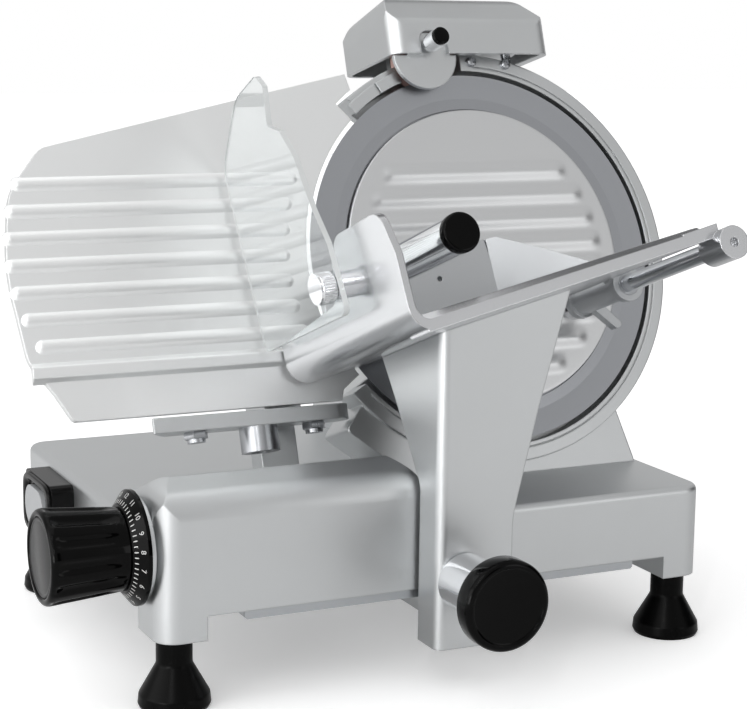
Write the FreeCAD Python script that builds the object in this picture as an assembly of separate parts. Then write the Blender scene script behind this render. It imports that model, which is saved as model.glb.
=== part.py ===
"""Gravity-feed slicer with a 220 mm blade, as an assembly of separate parts.

Millimetres, +Z up.  The origin is on the bench, midway between the four rubber feet.
+X runs along the carriage travel, -Y is the operator's side.

Three frames are used:
  world     the base, the carriage foot and arm, the motor housing
  blade     X along the travel, Y up the blade face, Z out of the face towards the operator;
            its origin is the blade centre and it leans back by BLADE_TILT
  tray      the blade frame turned about its Z by TRAY_ROLL, so that food leans on the tray wall
"""
import FreeCAD, Part
import math
import os
from FreeCAD import Placement, Rotation, Vector

# ---------------------------------------------------------------- driving dimensions
BLADE_R = 110.0            # 220 mm blade
BLADE_TILT = 19.5          # the blade leans back from the vertical, degrees
TRAY_ROLL = 6.5            # the tray leans to its wall, degrees
BLADE_X = 76.0             # blade centre in the world
BLADE_Y = -20.0
BLADE_Z = 213.0

RUN_FIT = 0.04             # radial clearance of a shaft that turns or slides in its bore
SLIDE_GAP = 0.3            # clearance between parts that pass each other

# base casting
BASE_L = 328.0
BASE_D = 252.0
BASE_TOP = 90.0
BASE_SKIRT = 50.0          # lower edge of the side walls
BASE_WALL = 5.0
BASE_CORNER = 12.0
LEG_W = 26.0
LEG_D = 34.0
LEG_BOTTOM = 37.0
HUMP_RIGHT = -17.0         # right end of the raised front housing
HUMP_CREST_Y = 30.0        # crest, behind the front face
HUMP_CREST_Z = 118.0
HUMP_SLOPE = 46.0          # depth of the slope behind the crest
HUMP_FRONT_Z = 112.0

# feet
FOOT_R = 19.0
FOOT_NECK_R = 9.5
FOOT_INSET_X = 13.0
FOOT_INSET_Y = 15.0

# carriage guides under the base
ROD_Y = -BASE_D / 2 + 71.0
ROD_Z = 57.0
ROD_R = 6.0
RAIL_X0 = -BASE_L / 2 + 47.0
RAIL_X1 = BASE_L / 2 - 46.0
RAIL_D = 14.0
RAIL_T = 5.0

# carriage foot and arm
ARM_X0 = -20.0
ARM_X1 = 24.0
ARM_TOP_X1 = 59.0
ARM_FRONT_Y = -BASE_D / 2 - 25.0
ARM_BACK_Y = -BASE_D / 2 - 3.0
ARM_WALL = 5.0
ARM_FLANGE_T = 7.0
ARM_BOTTOM = 23.0
FOOT_PLATE_Z0 = 35.0
FOOT_PLATE_T = 9.0
BLOCK_X0 = -39.0
BLOCK_X1 = 31.0
BLOCK_R = 12.0
LOCK_X = -5.0
LOCK_Z = 60.0
LOCK_NECK_R = 15.5
LOCK_NECK_L = 36.0
LOCK_DISC_R = 24.0
LOCK_DISC_T = 13.0
STUD_R = 4.0

# thickness knob and its cam
KNOB_Y = -BASE_D / 2 + 29.0
KNOB_Z = 82.0
KNOB_SHAFT_R = 5.0
KNOB_BOSS_R = 26.0
KNOB_BOSS_T = 3.0
DIAL_R = 30.0
DIAL_T = 8.0
GRIP_R = 25.0
GRIP_NECK_R = 21.5
GRIP_L = 42.0
CAM_X0 = -BASE_L / 2 + 28.0
CAM_T = 10.0
CAM_R = 23.0
GROOVE_DEPTH = 5.0
GROOVE_START = 9.0
PIN_R = 2.5
GAUGE_TRAVEL = 10.0
KNOB_SWEEP = 300.0         # degrees of knob for the full gauge travel

# switch
SWITCH_Y0 = 22.0
SWITCH_Y1 = 78.0
SWITCH_Z0 = 50.0
SWITCH_Z1 = 86.0
SWITCH_T = 13.0
SWITCH_BUTTON_L = 38.0
SWITCH_BUTTON_D = 24.0

# blade frame: ring guard, back plate, column
RING_IN = 113.0
RING_OUT = 123.0
RING_D = 20.0
PLATE_T = 6.0
RING_START = -142.0        # the ring runs from here, by the right, to RING_END; degrees
RING_END = 130.0
COLUMN_T = 34.0
HUB_BOSS_R = 31.0
HUB_BOSS_L = 30.0
BEARING_R = 21.0
BEARING_T = 12.0
SHAFT_R = 10.0
TIE_R = 4.0

# cover plate and its ribs
COVER_R = 88.5
COVER_FACE = 1.5
COVER_T = 3.0
RIB_TOP = 50.0             # height of the highest rib above the blade centre
RIB_PITCH = 14.7
RIB_R = 6.0
RIB_PROUD = 1.5

# drive
PULLEY_R = 36.0
MOTOR_PULLEY_R = 12.0
MOTOR_X = 38.0
MOTOR_V = -42.0
MOTOR_R = 36.0
BELT_W0 = -70.0
BELT_T = 12.0

# motor housing
HOUSE_X0 = -52.0
HOUSE_X1 = 84.0
HOUSE_WALL = 4.0

# gauge plate
GAUGE_T = 5.0
GAUGE_ARC_R = 112.5
GAUGE_LEFT = -287.0        # left end of the plate
BAR_X = -136.0             # slide bar, in the blade frame
BAR_V = -134.0
BAR_R = 7.0
BAR_W0 = -72.0
BAR_W1 = -26.0
BUSH_R = 9.2
GUIDE_R = 11.0
GUIDE_W0 = -71.0
GUIDE_W1 = -52.0
NECK_W = 22.0              # neck that joins the gauge plate to its slide bar
NECK_W0 = -40.0
NECK_W1 = -24.0
NECK_LOW = -142.0
FLANGE_V0 = -89.0          # flange under the gauge plate
FLANGE_V1 = -80.5
FLANGE_X0 = -216.0
FLANGE_X1 = -98.0
FLANGE_D = 18.0
ARM_STRIP_T = 6.0
TAB_SCREW_DEPTH = 3.5

# tray, in the tray frame: x along the travel, h up, w towards the operator
TRAY_X0 = -143.0
TRAY_X1 = 34.0
TRAY_LOW = -55.5           # underside of the floor at the tray wall
TRAY_RISE = 0.112          # rise of the floor per millimetre away from the wall
TRAY_T = 5.0
TRAY_W0 = 5.0
TRAY_W1 = 165.0
WALL_T = 4.0
LIP_H = 5.0                # the near lip, above the floor
PUSH_X = 47.0              # pusher rod
PUSH_H = -39.5
PUSH_ROD_R = 5.0
PUSH_BUSH_R = 6.5
SLEEVE_R = 8.0
SLEEVE_W0 = 13.0
SLEEVE_W1 = 68.0
EAR_T = 7.0
ROD_W1 = 172.0
PUSHER_X0 = -118.0
PUSHER_X1 = -8.0
PUSHER_W = 18.0
PUSHER_T = 5.0
PUSHER_TOP = 6.0
PUSHER_LIFT = 3.5          # height of its lower edge above the tray floor
HANDLE_X = -100.0
HANDLE_H = -8.0
HANDLE_R = 10.0
HANDLE_END = 152.0
GUARD_X = -153.5
GUARD_W = 108.0            # place of the screw that holds the hand guard
GUARD_H = -17.0
GUARD_T = 3.0

# sharpener, in the blade frame
SHARP_X0 = -48.0
SHARP_X1 = 58.0
SHARP_FRONT = 12.0
SHARP_BACK = -62.0
SHARP_V0 = 120.0
SHARP_V1 = 159.0
SHARP_WALL = 3.0
SHARP_CORNER = 9.0
POST_X = (12.5, 35.0)
POST_R = 3.0
POST_W = -4.0
SHARP_SLOPE = 8.0          # the lower edge rises this much to the back
HONE_X = -24.0             # hone button, its spindle and the hone stone in front of the blade
HONE_V = 125.5
HONE_R = 19.5
HONE_W = 2.2               # rest place of the hone stone's face
GRIND_X = -24.0            # grinding stone, behind the blade
GRIND_V = 120.0
GRIND_R = 16.5
GRIND_W = -4.5             # rest place of the grinding stone's face
STONE_T = 5.0
SPINDLE_R = 2.5
RING_GAP_END = 110.5       # the ring is open for the stones, from RING_GAP_START
RING_GAP_START = 89.5

FAR = 400.0                # larger than the machine, for cutting planes

# ---------------------------------------------------------------- frames and small helpers
BLADE_FRAME = Placement(Vector(BLADE_X, BLADE_Y, BLADE_Z), Rotation(Vector(1, 0, 0), 90 - BLADE_TILT))
TRAY_FRAME = BLADE_FRAME.multiply(Placement(Vector(), Rotation(Vector(0, 0, 1), TRAY_ROLL)))
SIN_T = math.sin(math.radians(BLADE_TILT))
COS_T = math.cos(math.radians(BLADE_TILT))


def put(shape, frame):
    """The shape, moved from a local frame into the world."""
    moved = shape.copy()
    moved.Placement = frame.multiply(moved.Placement)
    return moved


def point(frame, x, y, z):
    return frame.multVec(Vector(x, y, z))


def face_of(corners):
    """A flat face in XY from (x, y) or (x, y, radius) corners; a radius rounds its corner."""
    count = len(corners)
    edges = []
    ends = []
    for i in range(count):
        here = Vector(corners[i][0], corners[i][1], 0)
        radius = corners[i][2] if len(corners[i]) > 2 else 0
        before = Vector(corners[i - 1][0], corners[i - 1][1], 0)
        after = Vector(corners[(i + 1) % count][0], corners[(i + 1) % count][1], 0)
        if not radius:
            ends.append((here, here, None))
            continue
        a = (before - here).normalize()
        b = (after - here).normalize()
        half = a.getAngle(b) / 2
        reach = radius / math.tan(half)
        middle = (a + b).normalize() * (radius / math.sin(half) - radius)
        ends.append((here + a * reach, here + b * reach, here + middle))
    for i in range(count):
        start, stop, middle = ends[i]
        if middle is not None:
            edges.append(Part.Arc(start, middle, stop).toShape())
        nxt = ends[(i + 1) % count][0]
        if (nxt - stop).Length > 1e-6:
            edges.append(Part.LineSegment(stop, nxt).toShape())
    return Part.Face(Part.Wire(edges))


def prism(corners, z0, z1):
    """Outline in XY, thick from z0 to z1."""
    solid = face_of(corners).extrude(Vector(0, 0, z1 - z0))
    solid.translate(Vector(0, 0, z0))
    return solid


def prism_x(corners, x0, x1):
    """Outline given as (y, z), thick from x0 to x1."""
    solid = prism(corners, x0, x1)
    solid.rotate(Vector(), Vector(1, 1, 1), 120)
    return solid


def prism_y(corners, y0, y1):
    """Outline given as (x, z), thick from y0 to y1."""
    solid = prism(corners, -y1, -y0)
    solid.rotate(Vector(), Vector(1, 0, 0), 90)
    return solid


def prism_side(corners, x0, x1):
    """Outline given as (w, h) in the tray or blade frame, thick along its X."""
    solid = prism(corners, -x1, -x0)
    solid.rotate(Vector(), Vector(0, 1, 0), -90)
    return solid


def box(x0, x1, y0, y1, z0, z1):
    return Part.makeBox(x1 - x0, y1 - y0, z1 - z0, Vector(x0, y0, z0))


def rect(x0, x1, y0, y1, r=0):
    return [(x0, y0, r), (x1, y0, r), (x1, y1, r), (x0, y1, r)]


def rod(radius, start, end):
    """A cylinder between two points."""
    axis = end - start
    return Part.makeCylinder(radius, axis.Length, start, axis)


def rod_z(radius, x, y, z0, z1):
    return Part.makeCylinder(radius, z1 - z0, Vector(x, y, z0))


def rod_x(radius, y, z, x0, x1):
    return Part.makeCylinder(radius, x1 - x0, Vector(x0, y, z), Vector(1, 0, 0))


def rod_y(radius, x, z, y0, y1):
    return Part.makeCylinder(radius, y1 - y0, Vector(x, y0, z), Vector(0, 1, 0))


def turned(profile, axis_start, axis):
    """A solid turned about an axis, from (radius, distance along the axis) corners."""
    solid = face_of(profile).revolve(Vector(), Vector(0, 1, 0), 360)
    turn = Placement(axis_start, Rotation(Vector(0, 1, 0), axis))
    solid.Placement = turn.multiply(solid.Placement)
    return solid


def fuse(shapes):
    return shapes[0].multiFuse(shapes[1:]).removeSplitter()


def cut(shape, tools):
    return shape.cut(Part.makeCompound(tools))


def edges_where(shape, test):
    return [e for e in shape.Edges if test(e)]


def along(edge, axis):
    """True for a straight edge that runs along the axis."""
    if edge.Curve.TypeId != "Part::GeomLine":
        return False
    return abs(abs(edge.Curve.Direction.dot(axis)) - 1) < 1e-6


def polar(radius, degrees):
    a = math.radians(degrees)
    return radius * math.cos(a), radius * math.sin(a)


# ---------------------------------------------------------------- base
def base_plan(inset, z0, z1):
    half_l = BASE_L / 2 - inset
    half_d = BASE_D / 2 - inset
    return prism(rect(-half_l, half_l, -half_d, half_d, BASE_CORNER - inset), z0, z1)


def hump(inset):
    """The raised front housing; an inset gives the hollow inside it."""
    front = -BASE_D / 2 + inset
    crest = -BASE_D / 2 + HUMP_CREST_Y
    low = BASE_TOP - 20
    across = [(front, low), (front, HUMP_FRONT_Z - inset, 14 - inset),
              (crest, HUMP_CREST_Z - inset, 9), (crest + HUMP_SLOPE - inset, BASE_TOP - 4),
               (crest + HUMP_SLOPE - inset, low)]
    left = -BASE_L / 2 + inset
    right = HUMP_RIGHT - inset
    along_x = [(left, low), (left, HUMP_CREST_Z - inset, 20 - inset),
               (right, HUMP_CREST_Z - inset, 12 - inset), (right, low)]
    body = prism_x(across, left, right).common(prism_y(along_x, -BASE_D / 2 + inset, crest + HUMP_SLOPE + 5))
    return body.common(base_plan(inset, 0, FAR))


def legs():
    corners = []
    for sx in (-1, 1):
        for sy in (-1, 1):
            x0, x1 = sorted((sx * BASE_L / 2, sx * (BASE_L / 2 - LEG_W)))
            y0, y1 = sorted((sy * BASE_D / 2, sy * (BASE_D / 2 - LEG_D)))
            corners.append(box(x0, x1, y0, y1, LEG_BOTTOM, BASE_TOP - BASE_WALL))
    return [base_plan(0, LEG_BOTTOM, BASE_TOP - BASE_WALL).common(c) for c in corners]


def foot_centres():
    x = BASE_L / 2 - FOOT_INSET_X
    y = BASE_D / 2 - FOOT_INSET_Y
    return [(-x, -y), (x, -y), (-x, y), (x, y)]


def plate_posts():
    return [(-112.0, -8.0), (120.0, -14.0), (-105.0, 106.0), (120.0, 106.0)]


def frame_bolt_places():
    return [(34.0, -46.0), (140.0, -46.0), (52.0, -34.0), (122.0, -34.0)]


def gauge_guide():
    """The boss under the top of the base that guides the gauge's slide bar, with its web."""
    boss = put(rod_z(GUIDE_R, BAR_X, BAR_V, GUIDE_W0, GUIDE_W1), BLADE_FRAME)
    front = point(BLADE_FRAME, BAR_X, BAR_V, GUIDE_W1)
    back = point(BLADE_FRAME, BAR_X, BAR_V, GUIDE_W0)
    web = box(front.x - 6, front.x + 6, front.y + 4, back.y - 2, back.z + 4, BASE_TOP - BASE_WALL)
    return fuse([boss, web])


def neck_slot():
    """The slot in the top of the base for the gauge plate's neck and its travel."""
    low = point(BLADE_FRAME, BAR_X, (BASE_TOP - BASE_WALL - BLADE_Z - NECK_W1 * SIN_T) / COS_T, NECK_W1)
    high = point(BLADE_FRAME, BAR_X, (BASE_TOP - BLADE_Z - NECK_W0 * SIN_T) / COS_T, NECK_W0)
    half = NECK_W / 2 + 2
    return prism(rect(low.x - half, low.x + half, low.y - 2, high.y + GAUGE_TRAVEL + 1, 4),
                 BASE_TOP - BASE_WALL - 1, BASE_TOP + 1)


def base_casting():
    shell = base_plan(0, BASE_SKIRT, BASE_TOP)
    rim = edges_where(shell, lambda e: abs(e.BoundBox.ZMin - BASE_TOP) < 1e-6
                      and abs(e.BoundBox.ZMax - BASE_TOP) < 1e-6)
    shell = shell.makeFillet(4.0, rim)
    body = fuse([shell, hump(0)])
    ceiling = BASE_TOP - BASE_WALL
    body = cut(body, [base_plan(BASE_WALL, 0, ceiling), hump(BASE_WALL)])
    rod_bosses = [rod_x(11.0, ROD_Y, ROD_Z, -BASE_L / 2 + 2, -BASE_L / 2 + 12),
                  rod_x(11.0, ROD_Y, ROD_Z, BASE_L / 2 - 12, BASE_L / 2 - 2)]
    rod_webs = [box(b, b + 10, ROD_Y - 11, ROD_Y + 11, ROD_Z, ceiling)
                for b in (-BASE_L / 2 + 2, BASE_L / 2 - 12)]
    knob_boss = rod_x(KNOB_BOSS_R, KNOB_Y, KNOB_Z, -BASE_L / 2 - KNOB_BOSS_T, -BASE_L / 2)
    knob_tube = rod_x(KNOB_SHAFT_R + 5, KNOB_Y, KNOB_Z, -BASE_L / 2, CAM_X0 - 2)
    posts = [rod_z(5.0, x, y, BASE_SKIRT + 1.5, ceiling) for x, y in plate_posts()]
    body = fuse([body] + legs() + rod_bosses + rod_webs + [knob_boss, knob_tube, gauge_guide()] + posts)
    holes = [rod_x(ROD_R, ROD_Y, ROD_Z, -BASE_L / 2 + BASE_WALL - 2, BASE_L / 2 - BASE_WALL + 2),
             rod_x(KNOB_SHAFT_R + RUN_FIT, KNOB_Y, KNOB_Z, -BASE_L / 2 - 10, CAM_X0),
             put(rod_z(BUSH_R, BAR_X, BAR_V, GUIDE_W0 - 1, GUIDE_W1 + 1), BLADE_FRAME), neck_slot()]
    holes += [rod_z(3.0, x, y, LEG_BOTTOM - 1, LEG_BOTTOM + 20) for x, y in foot_centres()]
    holes += [rod_z(1.6, x, y, BASE_SKIRT, BASE_SKIRT + 14) for x, y in plate_posts()]
    holes += [rod_z(4.0, x, y, ceiling - 1, BASE_TOP + 1) for x, y in frame_bolt_places()]
    wiring = prism(rect(50, 140, 20, 80, 10), ceiling - 1, BASE_TOP + 1)
    gland_hole = rod_y(8.0, 100, 70, BASE_D / 2 - 10, BASE_D / 2 + 1)
    return cut(body, holes + [wiring, gland_hole])


def rubber_feet():
    profile = [(0, 0), (FOOT_R - 1, 0), (FOOT_R, 2), (FOOT_R - 0.5, 7, 2), (FOOT_NECK_R, 23, 4),
               (FOOT_NECK_R, LEG_BOTTOM), (3.0, LEG_BOTTOM), (3.0, 12), (5.5, 12), (5.5, 5), (0, 5)]
    return [turned(profile, Vector(x, y, 0), Vector(0, 0, 1)) for x, y in foot_centres()]


def foot_screws():
    solids = []
    for x, y in foot_centres():
        solids.append(fuse([rod_z(5.5, x, y, 8, 12), rod_z(3.0, x, y, 12, LEG_BOTTOM + 19)]))
    return solids


def bottom_plate():
    half = BASE_L / 2 - LEG_W - 1
    plate = prism(rect(-half, half, -26, BASE_D / 2 - BASE_WALL - 0.5, 3), BASE_SKIRT, BASE_SKIRT + 1.5)
    holes = [rod_z(1.6, x, y, BASE_SKIRT - 1, BASE_SKIRT + 3) for x, y in plate_posts()]
    vents = [box(x, x + 4, 30, 80, BASE_SKIRT - 1, BASE_SKIRT + 3) for x in range(30, 100, 10)]
    return cut(plate, holes + vents)


def bottom_plate_screws():
    return [fuse([rod_z(3.2, x, y, BASE_SKIRT - 2, BASE_SKIRT), rod_z(1.6, x, y, BASE_SKIRT, BASE_SKIRT + 12)])
            for x, y in plate_posts()]


def cable_gland():
    y = BASE_D / 2
    return fuse([rod_y(8.0, 100, 70, y - BASE_WALL, y), rod_y(11.0, 100, 70, y, y + 5),
                 rod_y(8.5, 100, 70, y + 5, y + 13)]).cut(rod_y(4.0, 100, 70, y - 10, y + 20))


def carriage_rod():
    return rod_x(ROD_R, ROD_Y, ROD_Z, -BASE_L / 2 + BASE_WALL - 2, BASE_L / 2 - BASE_WALL + 2)


def guide_rail():
    y0 = -BASE_D / 2 + 2
    bar = box(RAIL_X0, RAIL_X1, y0, y0 + RAIL_D, BASE_SKIRT - RAIL_T, BASE_SKIRT)
    return bar.makeChamfer(1.0, edges_where(bar, lambda e: along(e, Vector(0, 1, 0))))


# ---------------------------------------------------------------- switch
def switch_box():
    x1 = -BASE_L / 2
    body = prism_x(rect(SWITCH_Y0, SWITCH_Y1, SWITCH_Z0, SWITCH_Z1, 5), x1 - SWITCH_T, x1)
    well = prism_x(stadium(SWITCH_BUTTON_L + 1, SWITCH_BUTTON_D + 1), x1 - SWITCH_T - 1, x1 - 3)
    return body.cut(well)



def stadium(length, height):
    """An oblong centred on the switch face, as (y, z) corners."""
    y = (SWITCH_Y0 + SWITCH_Y1) / 2
    z = (SWITCH_Z0 + SWITCH_Z1) / 2
    return rect(y - length / 2, y + length / 2, z - height / 2, z + height / 2, height / 2 - 0.01)


def switch_button():
    x1 = -BASE_L / 2
    return prism_x(stadium(SWITCH_BUTTON_L, SWITCH_BUTTON_D), x1 - SWITCH_T - 3, x1 - 6)


# ---------------------------------------------------------------- thickness knob
def groove_edge(offset):
    """One wall of the spiral groove, as (y, z) points around the knob axis."""
    points = []
    steps = 30
    for i in range(-2, steps + 3):
        turn = KNOB_SWEEP * i / steps
        r = GROOVE_START + GAUGE_TRAVEL * i / steps + offset
        a = math.radians(-BLADE_TILT - turn)
        points.append(Vector(r * math.cos(a), r * math.sin(a), 0))
    return points


def cam_disc():
    half = PIN_R + SLIDE_GAP
    inner = Part.BSplineCurve()
    inner.interpolate(groove_edge(-half))
    outer = Part.BSplineCurve()
    outer.interpolate(groove_edge(half))
    first = Part.LineSegment(groove_edge(half)[0], groove_edge(-half)[0])
    last = Part.LineSegment(groove_edge(-half)[-1], groove_edge(half)[-1])
    loop = Part.Wire([first.toShape(), inner.toShape(), last.toShape(), outer.toShape()])
    groove = Part.Face(loop).extrude(Vector(0, 0, GROOVE_DEPTH + 1))
    groove.translate(Vector(0, 0, CAM_X0 + CAM_T - GROOVE_DEPTH))
    groove.rotate(Vector(), Vector(1, 1, 1), 120)
    groove.translate(Vector(0, KNOB_Y, KNOB_Z))
    disc = rod_x(CAM_R, KNOB_Y, KNOB_Z, CAM_X0, CAM_X0 + CAM_T)
    shaft_hole = rod_x(KNOB_SHAFT_R - 1, KNOB_Y, KNOB_Z, CAM_X0 - 1, CAM_X0 + 4)
    return cut(disc, [groove, shaft_hole])


def knob_shaft():
    start = -BASE_L / 2 - KNOB_BOSS_T - SLIDE_GAP - DIAL_T - GRIP_L + 8
    return fuse([rod_x(KNOB_SHAFT_R, KNOB_Y, KNOB_Z, start, CAM_X0),
                 rod_x(KNOB_SHAFT_R - 1, KNOB_Y, KNOB_Z, CAM_X0, CAM_X0 + 4)])


def knob_dial():
    x1 = -BASE_L / 2 - KNOB_BOSS_T - SLIDE_GAP
    profile = [(KNOB_SHAFT_R, 0), (DIAL_R, 0), (DIAL_R, 2), (GRIP_NECK_R + 1, DIAL_T), (KNOB_SHAFT_R, DIAL_T)]
    return turned(profile, Vector(x1, KNOB_Y, KNOB_Z), Vector(-1, 0, 0))


def knob_grip():
    x1 = -BASE_L / 2 - KNOB_BOSS_T - SLIDE_GAP - DIAL_T
    profile = [(KNOB_SHAFT_R, 0), (GRIP_NECK_R, 0), (GRIP_R, GRIP_L, 3), (0, GRIP_L),
               (0, GRIP_L - 8), (KNOB_SHAFT_R, GRIP_L - 8)]
    body = turned(profile, Vector(x1, KNOB_Y, KNOB_Z), Vector(-1, 0, 0))
    flutes = []
    for i in range(14):
        a = 2 * math.pi * i / 14
        near = Vector(x1, KNOB_Y + (GRIP_NECK_R + 2) * math.cos(a), KNOB_Z + (GRIP_NECK_R + 2) * math.sin(a))
        far = Vector(x1 - GRIP_L, KNOB_Y + (GRIP_R + 2) * math.cos(a), KNOB_Z + (GRIP_R + 2) * math.sin(a))
        flutes.append(rod(3.2, near, far))
    return cut(body, flutes)


# ---------------------------------------------------------------- ring guard, column, housing
def sector(r0, r1, a0, a1, z0, z1):
    """Part of a ring, from angle a0 to a1 in degrees."""
    outer = Part.makeCylinder(r1, z1 - z0, Vector(0, 0, z0), Vector(0, 0, 1), a1 - a0)
    inner = Part.makeCylinder(r0, z1 - z0 + 2, Vector(0, 0, z0 - 1))
    piece = outer.cut(inner)
    piece.rotate(Vector(), Vector(0, 0, 1), a0)
    return piece


def above_base():
    """Everything above the top of the base, in the world."""
    return box(-FAR, FAR, -FAR, FAR, BASE_TOP, BASE_TOP + FAR)


def frame_casting():
    dish = rod_z(RING_OUT, 0, 0, -RING_D, 0)
    column = prism([(-86, -76), (-103, -96, 3), (-60, -131), (-54, -150), (82, -150), (82, -128, 10),
                    (74, -95),
                    (60, -60), (-50, -60)], -COLUMN_T - 2, -2)
    boss = rod_z(HUB_BOSS_R, 0, 0, -RING_D - HUB_BOSS_L, -RING_D + 1)
    body = fuse([dish, column, boss])
    pocket = rod_z(RING_IN, 0, 0, -RING_D + PLATE_T, 5)
    top = polar(RING_OUT + 12, RING_END)
    low = polar(RING_OUT, RING_START)
    exit_way = prism([(-46, 74), top, (-170, 130), (-170, -104), low, (-46, -46, 10)], -RING_D - 20, 5)
    bearing_bore = rod_z(BEARING_R, 0, 0, -RING_D - HUB_BOSS_L - 1, 0)
    hub_recess = rod_z(38.0, 0, 0, -RING_D + 3, 0)
    stone_gap = sector(RING_IN - 1, RING_OUT + 1, RING_GAP_START, RING_GAP_END, -RING_D + PLATE_T, 1)
    spindle_slot = box(GRIND_X - 4, GRIND_X + 4, GRIND_V - 6, RING_OUT + 5, -RING_D - 1, 1)
    groove = sector(RING_IN + 2.4, RING_IN + 3.1, RING_START + 4, RING_GAP_START - 4, -0.8, 1)
    openings = [pocket, exit_way, bearing_bore, hub_recess, stone_gap, spindle_slot, groove]
    body = cut(body, openings + post_bores(0))
    placed = put(body, BLADE_FRAME).common(above_base())
    bolt_holes = [rod_z(4.0, x, y, BASE_TOP - 1, BASE_TOP + 15) for x, y in frame_bolt_places()]
    return cut(placed, bolt_holes)


def frame_bolts():
    ceiling = BASE_TOP - BASE_WALL
    return [fuse([rod_z(6.5, x, y, ceiling - 8, ceiling), rod_z(4.0, x, y, ceiling, BASE_TOP + 14)])
            for x, y in frame_bolt_places()]


def ring_end_block():
    low = sector(RING_IN, 120, 119.5, RING_END, 0, 2)
    high = sector(RING_IN, 120, RING_GAP_END + 1, 118.8, 0, 2)
    return [put(low, BLADE_FRAME), put(high, BLADE_FRAME)]


def house_side(inset):
    """Side outline of the motor housing, as (y, z); its front leans with the blade."""
    def front(z):
        w = -COLUMN_T - 2
        v = (z - BLADE_Z - w * SIN_T) / COS_T
        return BLADE_Y + v * SIN_T - w * COS_T
    low = BASE_TOP if not inset else BASE_TOP - 1
    high = 262 - inset
    back = 114.0 - inset
    return [(front(low) + inset, low), (front(high) + inset, high, 6), (back - 42, high, 24),
            (back, high - 62, 30), (back, low)]


def motor_housing():
    outer = prism_x(house_side(0), BLADE_X + HOUSE_X0, BLADE_X + HOUSE_X1)
    inner = prism_x(house_side(HOUSE_WALL), BLADE_X + HOUSE_X0 + HOUSE_WALL, BLADE_X + HOUSE_X1 - HOUSE_WALL)
    hub_hole = put(rod_z(HUB_BOSS_R + 0.5, 0, 0, -60, -20), BLADE_FRAME)
    tie_hole = put(rod_z(TIE_R + 1, 0, 0, -140, -60), BLADE_FRAME)
    return cut(outer, [inner, hub_hole, tie_hole])


def hub_bearings():
    front = rod_z(BEARING_R, 0, 0, -RING_D - BEARING_T + 1, -RING_D + 1)
    back = rod_z(BEARING_R, 0, 0, -RING_D - HUB_BOSS_L, -RING_D - HUB_BOSS_L + BEARING_T)
    bore = rod_z(SHAFT_R + RUN_FIT, 0, 0, -100, 0)
    return [put(b.cut(bore), BLADE_FRAME) for b in (front, back)]


# ---------------------------------------------------------------- blade and drive
def blade():
    step = COVER_R + 1.0
    profile = [(25, -7), (BLADE_R - 14, -7), (BLADE_R, -0.4), (BLADE_R, 0), (BLADE_R - 14, -1.2),
               (step, -1.2), (step, -3), (25, -3)]
    body = turned(profile, Vector(), Vector(0, 0, 1))
    holes = [rod_z(2.5, *polar(32, a), -10, 0) for a in (30, 150, 270)]
    return put(cut(body, holes), BLADE_FRAME)


def blade_screws():
    return [put(fuse([rod_z(4.0, *polar(32, a), -3, -1.9), rod_z(2.5, *polar(32, a), -12, -3)]), BLADE_FRAME)
            for a in (30, 150, 270)]


def blade_hub():
    back = BELT_W0 - 3
    profile = [(TIE_R + 0.6, -4), (24.9, -4), (24.9, -7), (36, -7), (36, -13), (14, -13), (14, -RING_D + 1.4),
               (SHAFT_R, -RING_D + 1.4), (SHAFT_R, back), (TIE_R + 0.6, back)]
    body = turned(profile, Vector(), Vector(0, 0, 1))
    holes = [rod_z(2.5, *polar(32, a), -12, -5) for a in (30, 150, 270)]
    return put(cut(body, holes), BLADE_FRAME)


def pulley(radius, bore, x, v):
    """A grooved pulley on the belt's line."""
    w0 = BELT_W0
    w1 = BELT_W0 + BELT_T
    profile = [(bore, w0), (radius + 2, w0), (radius + 2, w0 + 1), (radius, w0 + 1.5), (radius, w1 - 1.5),
               (radius + 2, w1 - 1), (radius + 2, w1), (bore, w1)]
    return put(turned(profile, Vector(x, v, 0), Vector(0, 0, 1)), BLADE_FRAME)


def drive_belt():
    """A flat belt round both pulleys, a running gap clear of them."""
    def hull(grow):
        r1 = PULLEY_R + grow
        r2 = MOTOR_PULLEY_R + grow
        dist = math.hypot(MOTOR_X, MOTOR_V)
        heading = math.degrees(math.atan2(MOTOR_V, MOTOR_X))
        lean = math.degrees(math.acos((r1 - r2) / dist))
        a = Vector(*polar(r1, heading + lean), 0)
        b = Vector(*polar(r1, heading - lean), 0)
        c = Vector(*polar(r2, heading - lean), 0) + Vector(MOTOR_X, MOTOR_V, 0)
        d = Vector(*polar(r2, heading + lean), 0) + Vector(MOTOR_X, MOTOR_V, 0)
        back = Vector(*polar(-r1, heading), 0)
        tip = Vector(*polar(r2, heading), 0) + Vector(MOTOR_X, MOTOR_V, 0)
        loop = [Part.Arc(a, back, b).toShape(), Part.LineSegment(b, c).toShape(),
                Part.Arc(c, tip, d).toShape(), Part.LineSegment(d, a).toShape()]
        solid = Part.Face(Part.Wire(loop)).extrude(Vector(0, 0, BELT_T - 4))
        solid.translate(Vector(0, 0, BELT_W0 + 2))
        return solid
    return put(hull(1.8).cut(hull(SLIDE_GAP)), BLADE_FRAME)


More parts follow.
